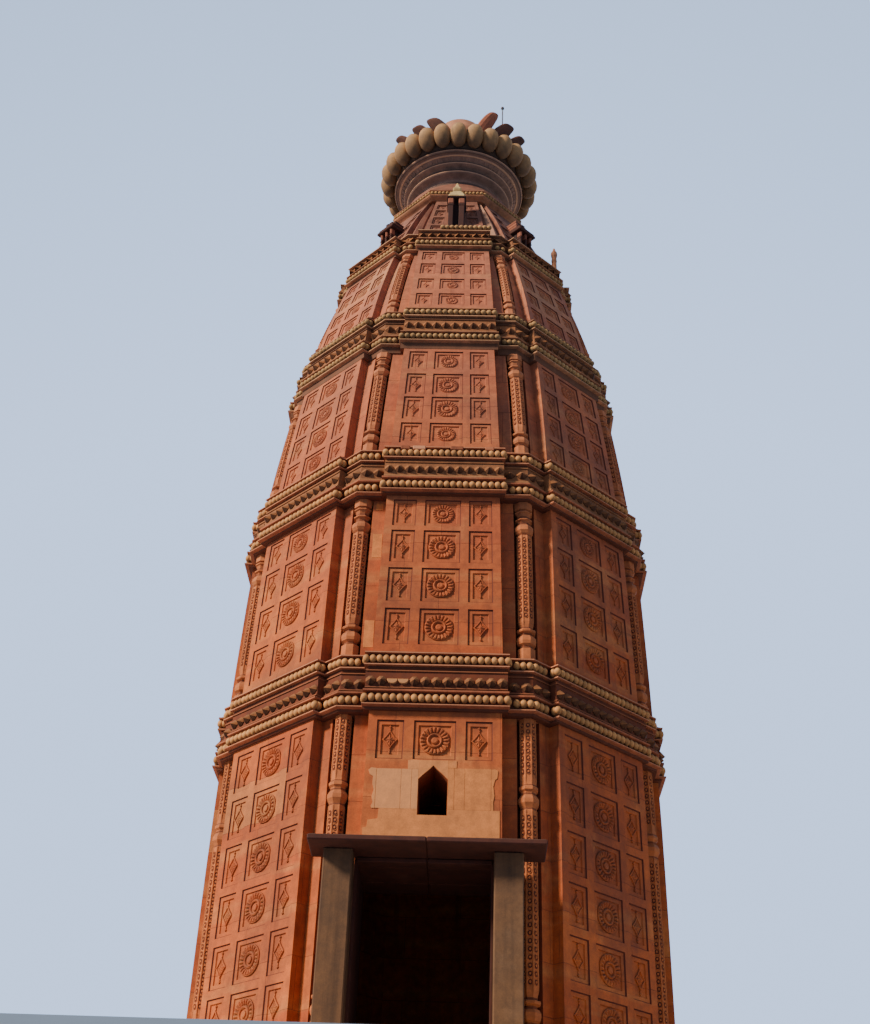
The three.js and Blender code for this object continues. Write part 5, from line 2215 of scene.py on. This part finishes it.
@dataclass(frozen=True)
class Porch:
    """Two canopy slabs on square posts, ceiling stones and the floor's paving."""

    canopy: tuple[float, float, float] = (-1.72, 1.66, 4.56)
    seam: float = -0.04
    post: float = 0.42
    post_front: float = 4.22
    left: float = -1.09
    right: float = 0.92
    bottom: float = 2.8
    top: float = 2.88
    inner_end: float = -2.32

    def build(self) -> list[Piece]:
        """Builds the canopy, the posts, the ceiling stones and the floor.

        Returns:
            The pieces.
        """
        slabs = Relief()
        start, end, reach = self.canopy
        back = bay(self.bottom) + GAP
        for x0, x1, tip in ((start, self.seam - 0.001, 0.0), (self.seam + 0.001, end, 0.004)):
            slabs.stamp(block(x0, x1, -reach + tip, -back, self.bottom + tip, self.top, 0.014))
        made = [slabs.piece("porch_canopy_slabs", SLAB_STONE, "porch_canopy")]
        front = -self.post_front
        for name, x0 in (("left", self.left - self.post), ("right", self.right)):
            relief = Relief()
            relief.stamp(block(x0, x0 + self.post, front, front + self.post, 0.0, self.bottom, 0.018))
            made.append(relief.piece(f"porch_{name}_post", POST_STONE, f"porch_post_{name}"))
        return [*made, self.ceiling(), self.floor()]

    def ceiling(self) -> Piece:
        """Builds the ceiling stones of the passage and the slabs between posts and jambs.

        Returns:
            The piece.
        """
        relief = Relief()
        for y0, y1, rise in ((-3.84, -3.6, 0.0), (-3.595, -2.87, 0.004), (-2.865, self.inner_end, 0.001)):
            for x0, x1 in ((DOOR_LEFT, self.seam - 0.003), (self.seam + 0.003, DOOR_RIGHT)):
                relief.stamp(block(x0, x1, y0, y1, DOOR_HEAD - 0.05 + rise, DOOR_HEAD + 0.015, 0.01))
        for x0, x1 in ((self.left, DOOR_LEFT + 0.014), (DOOR_RIGHT - 0.014, self.right)):
            top = self.bottom - 0.004
            relief.stamp(block(x0 + 0.001, x1 - 0.001, -3.797, self.inner_end, 0.09, top, 0.003))
        return relief.piece("passage_ceiling_stones", SLAB_STONE)

    @staticmethod
    def floor() -> Piece:
        """Builds the paved floor with its tongue through the doorway.

        Returns:
            The piece.
        """
        relief = Relief()
        rings = []
        for z, cut in ((0.0, 0.0), (0.07, 0.0), (0.08, 0.01)):
            left, right = DOOR_LEFT + GAP + cut, DOOR_RIGHT - GAP - cut
            inner = read(HOLLOW, 0.0) - GAP - cut
            front = -bay(0.0) - 0.02 + cut
            line = [(left, -(inner * math.sqrt(2) + left)), (left, front), (right, front), (right, -inner),
                    *(plan(face, inner, -inner * TAN) for face in range(1, FACES))]
            rings.append(np.array([(x, y, z) for x, y in line]))
        relief.stamp(lofted(rings))
        return relief.piece("floor_paving", PAVING, "floor", flat=True)


@dataclass(frozen=True)
class Studio:
    """Camera at the photo's view, soft light and a plain pale floor."""

    place: tuple[float, float, float] = (0.62088, -24.0, -3.96493)
    yaw: float = -2.10487
    pitch: float = 32.11631
    roll: float = 2.19295
    lens: float = 50.4268
    sky: Rgb = (168, 192, 230)
    sky_span: Point = (0.15, 0.8)
    sky_strength: Point = (0.76, 2.15)
    sun_energy: float = 6.3
    sun_colour: tuple[float, float, float] = (1.0, 0.945, 0.81)
    sun_place: tuple[float, float, float] = (-0.9, -0.52, 0.7)
    sun_width: float = 9.0

    def build(self) -> None:
        """Sets the camera, the sky, the light and the floor."""
        self.camera()
        self.light()
        self.ground()

    def camera(self) -> None:
        """Places the camera by its turn, tilt and roll."""
        cy, cp, cr = (math.cos(math.radians(angle)) for angle in (self.yaw, self.pitch, self.roll))
        sy, sp, sr = (math.sin(math.radians(angle)) for angle in (self.yaw, self.pitch, self.roll))
        forward = Vector((sy * cp, cy * cp, sp))
        level = Vector((cy, -sy, 0.0))
        rise = level.cross(forward)
        right = cr * level + sr * rise
        up = cr * rise - sr * level
        data = bpy.data.cameras.new("camera")
        data.lens = self.lens
        data.sensor_width = 36.0
        data.clip_end = 300.0
        made = bpy.data.objects.new("camera", data)
        turn = Matrix((right, up, -forward)).transposed().to_4x4()
        made.matrix_world = Matrix.Translation(self.place) @ turn
        bpy.context.scene.collection.objects.link(made)
        bpy.context.scene.camera = made

    def light(self) -> None:
        """Pale sky, brighter behind the tower, and a soft key light from the upper left."""
        world = bpy.data.worlds.new("pale_sky")
        world.use_nodes = True
        nodes, links = world.node_tree.nodes, world.node_tree.links
        sky = nodes["Background"]
        sky.inputs["Color"].default_value = colour(self.sky)
        compass = nodes.new("ShaderNodeSeparateXYZ")
        fall = nodes.new("ShaderNodeMapRange")
        span = (*self.sky_span, *self.sky_strength)
        for key, value in zip(("From Min", "From Max", "To Min", "To Max"), span):
            fall.inputs[key].default_value = value
        links.new(nodes.new("ShaderNodeTexCoord").outputs["Generated"], compass.inputs[0])
        links.new(compass.outputs["Y"], fall.inputs["Value"])
        links.new(fall.outputs["Result"], sky.inputs["Strength"])
        bpy.context.scene.world = world
        data = bpy.data.lights.new("key_light", "SUN")
        data.energy = self.sun_energy
        data.angle = math.radians(self.sun_width)
        data.color = self.sun_colour
        key = bpy.data.objects.new("key_light", data)
        key.rotation_euler = Vector(self.sun_place).to_track_quat("Z", "Y").to_euler()
        bpy.context.scene.collection.objects.link(key)

    @staticmethod
    def ground() -> None:
        """Plain pale floor round the tower."""
        tree = Tree("pale_floor")
        place = tree.add("ShaderNodeTexCoord").outputs["Object"]
        shade = tree.mix(tree.noise(place, 1.5, 5.0), colour((196, 186, 170)), colour((208, 198, 182)))
        skin = tree.add("ShaderNodeBsdfPrincipled", {"Base Color": shade})
        skin.inputs["Roughness"].default_value = 0.9
        tree.add("ShaderNodeOutputMaterial", {"Surface": skin.outputs[0]})
        mesh = bpy.data.meshes.new("ground")
        mesh.from_pydata([(-40, -6.0, 0), (40, -6.0, 0), (40, 60, 0), (-40, 60, 0)], [], [(0, 1, 2, 3)])
        mesh.materials.append(tree.material)
        made = bpy.data.objects.new("ground", mesh)
        made.location.z = -0.002
        bpy.context.scene.collection.objects.link(made)


CORNICES = (
    Cornice(number=1, base=5.15, top=6.18, lower=Level(5.37, 3.785, 3.66, 1.121),
            upper=Level(6.0, 3.79, 3.636, 1.126), balls=(21, 22), bosses=13, sag=0.03),
    Cornice(number=2, base=9.19, top=10.25, lower=Level(9.4, 3.658, 3.514, 1.044),
            upper=Level(10.04, 3.61, 3.468, 1.034), balls=(20, 20), bosses=12, sag=0.035),
    Cornice(number=3, base=12.69, top=13.82, lower=Level(12.97, 3.18, 3.029, 0.905),
            upper=Level(13.63, 3.086, 2.947, 0.847), balls=(18, 17), bosses=10),
    Cornice(number=4, base=15.79, top=16.36, lower=Level(16.005, 2.42, 2.275, 0.74),
            upper=Level(16.44, 2.4, 2.255, 0.72), balls=(16, 16), bosses=8),
)


def report(made: Piece) -> None:
    """Reports one piece."""
    LOG.info("%s: %d points, %d faces", made.name, len(made.data.vertices), len(made.data.polygons))


def main() -> None:
    """Builds the sub-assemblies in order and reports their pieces."""
    logging.basicConfig(level=logging.INFO, format="%(name)s %(message)s")
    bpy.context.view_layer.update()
    Studio().build()
    first = STOREYS[0]
    pieces = [BaseCourse().build(), Colonettes(first, PLINTH_TOP).build(), *FrontWall().build(),
              first.build("storey_1_right", 1, 2, "wall_1_right"),
              first.build("storey_1_back", 3, 5, "wall_1_back"),
              first.build("storey_1_left", 6, 7, "wall_1_left")]
    for storey in STOREYS[1:]:
        n = storey.number
        pieces.append(storey.build(f"storey_{n}_right", 0, 3, f"wall_{n}_right"))
        pieces.append(storey.build(f"storey_{n}_left", 4, 7, f"wall_{n}_left"))
    pieces += FifthStorey().build()
    for cornice, storey, following in zip(CORNICES, STOREYS, (*STOREYS[1:], None)):
        pieces += cornice.build(storey, following)
    pieces += Crown().build() + Porch().build()
    for made in pieces:
        report(made)


if __name__ == "__main__":
    main()
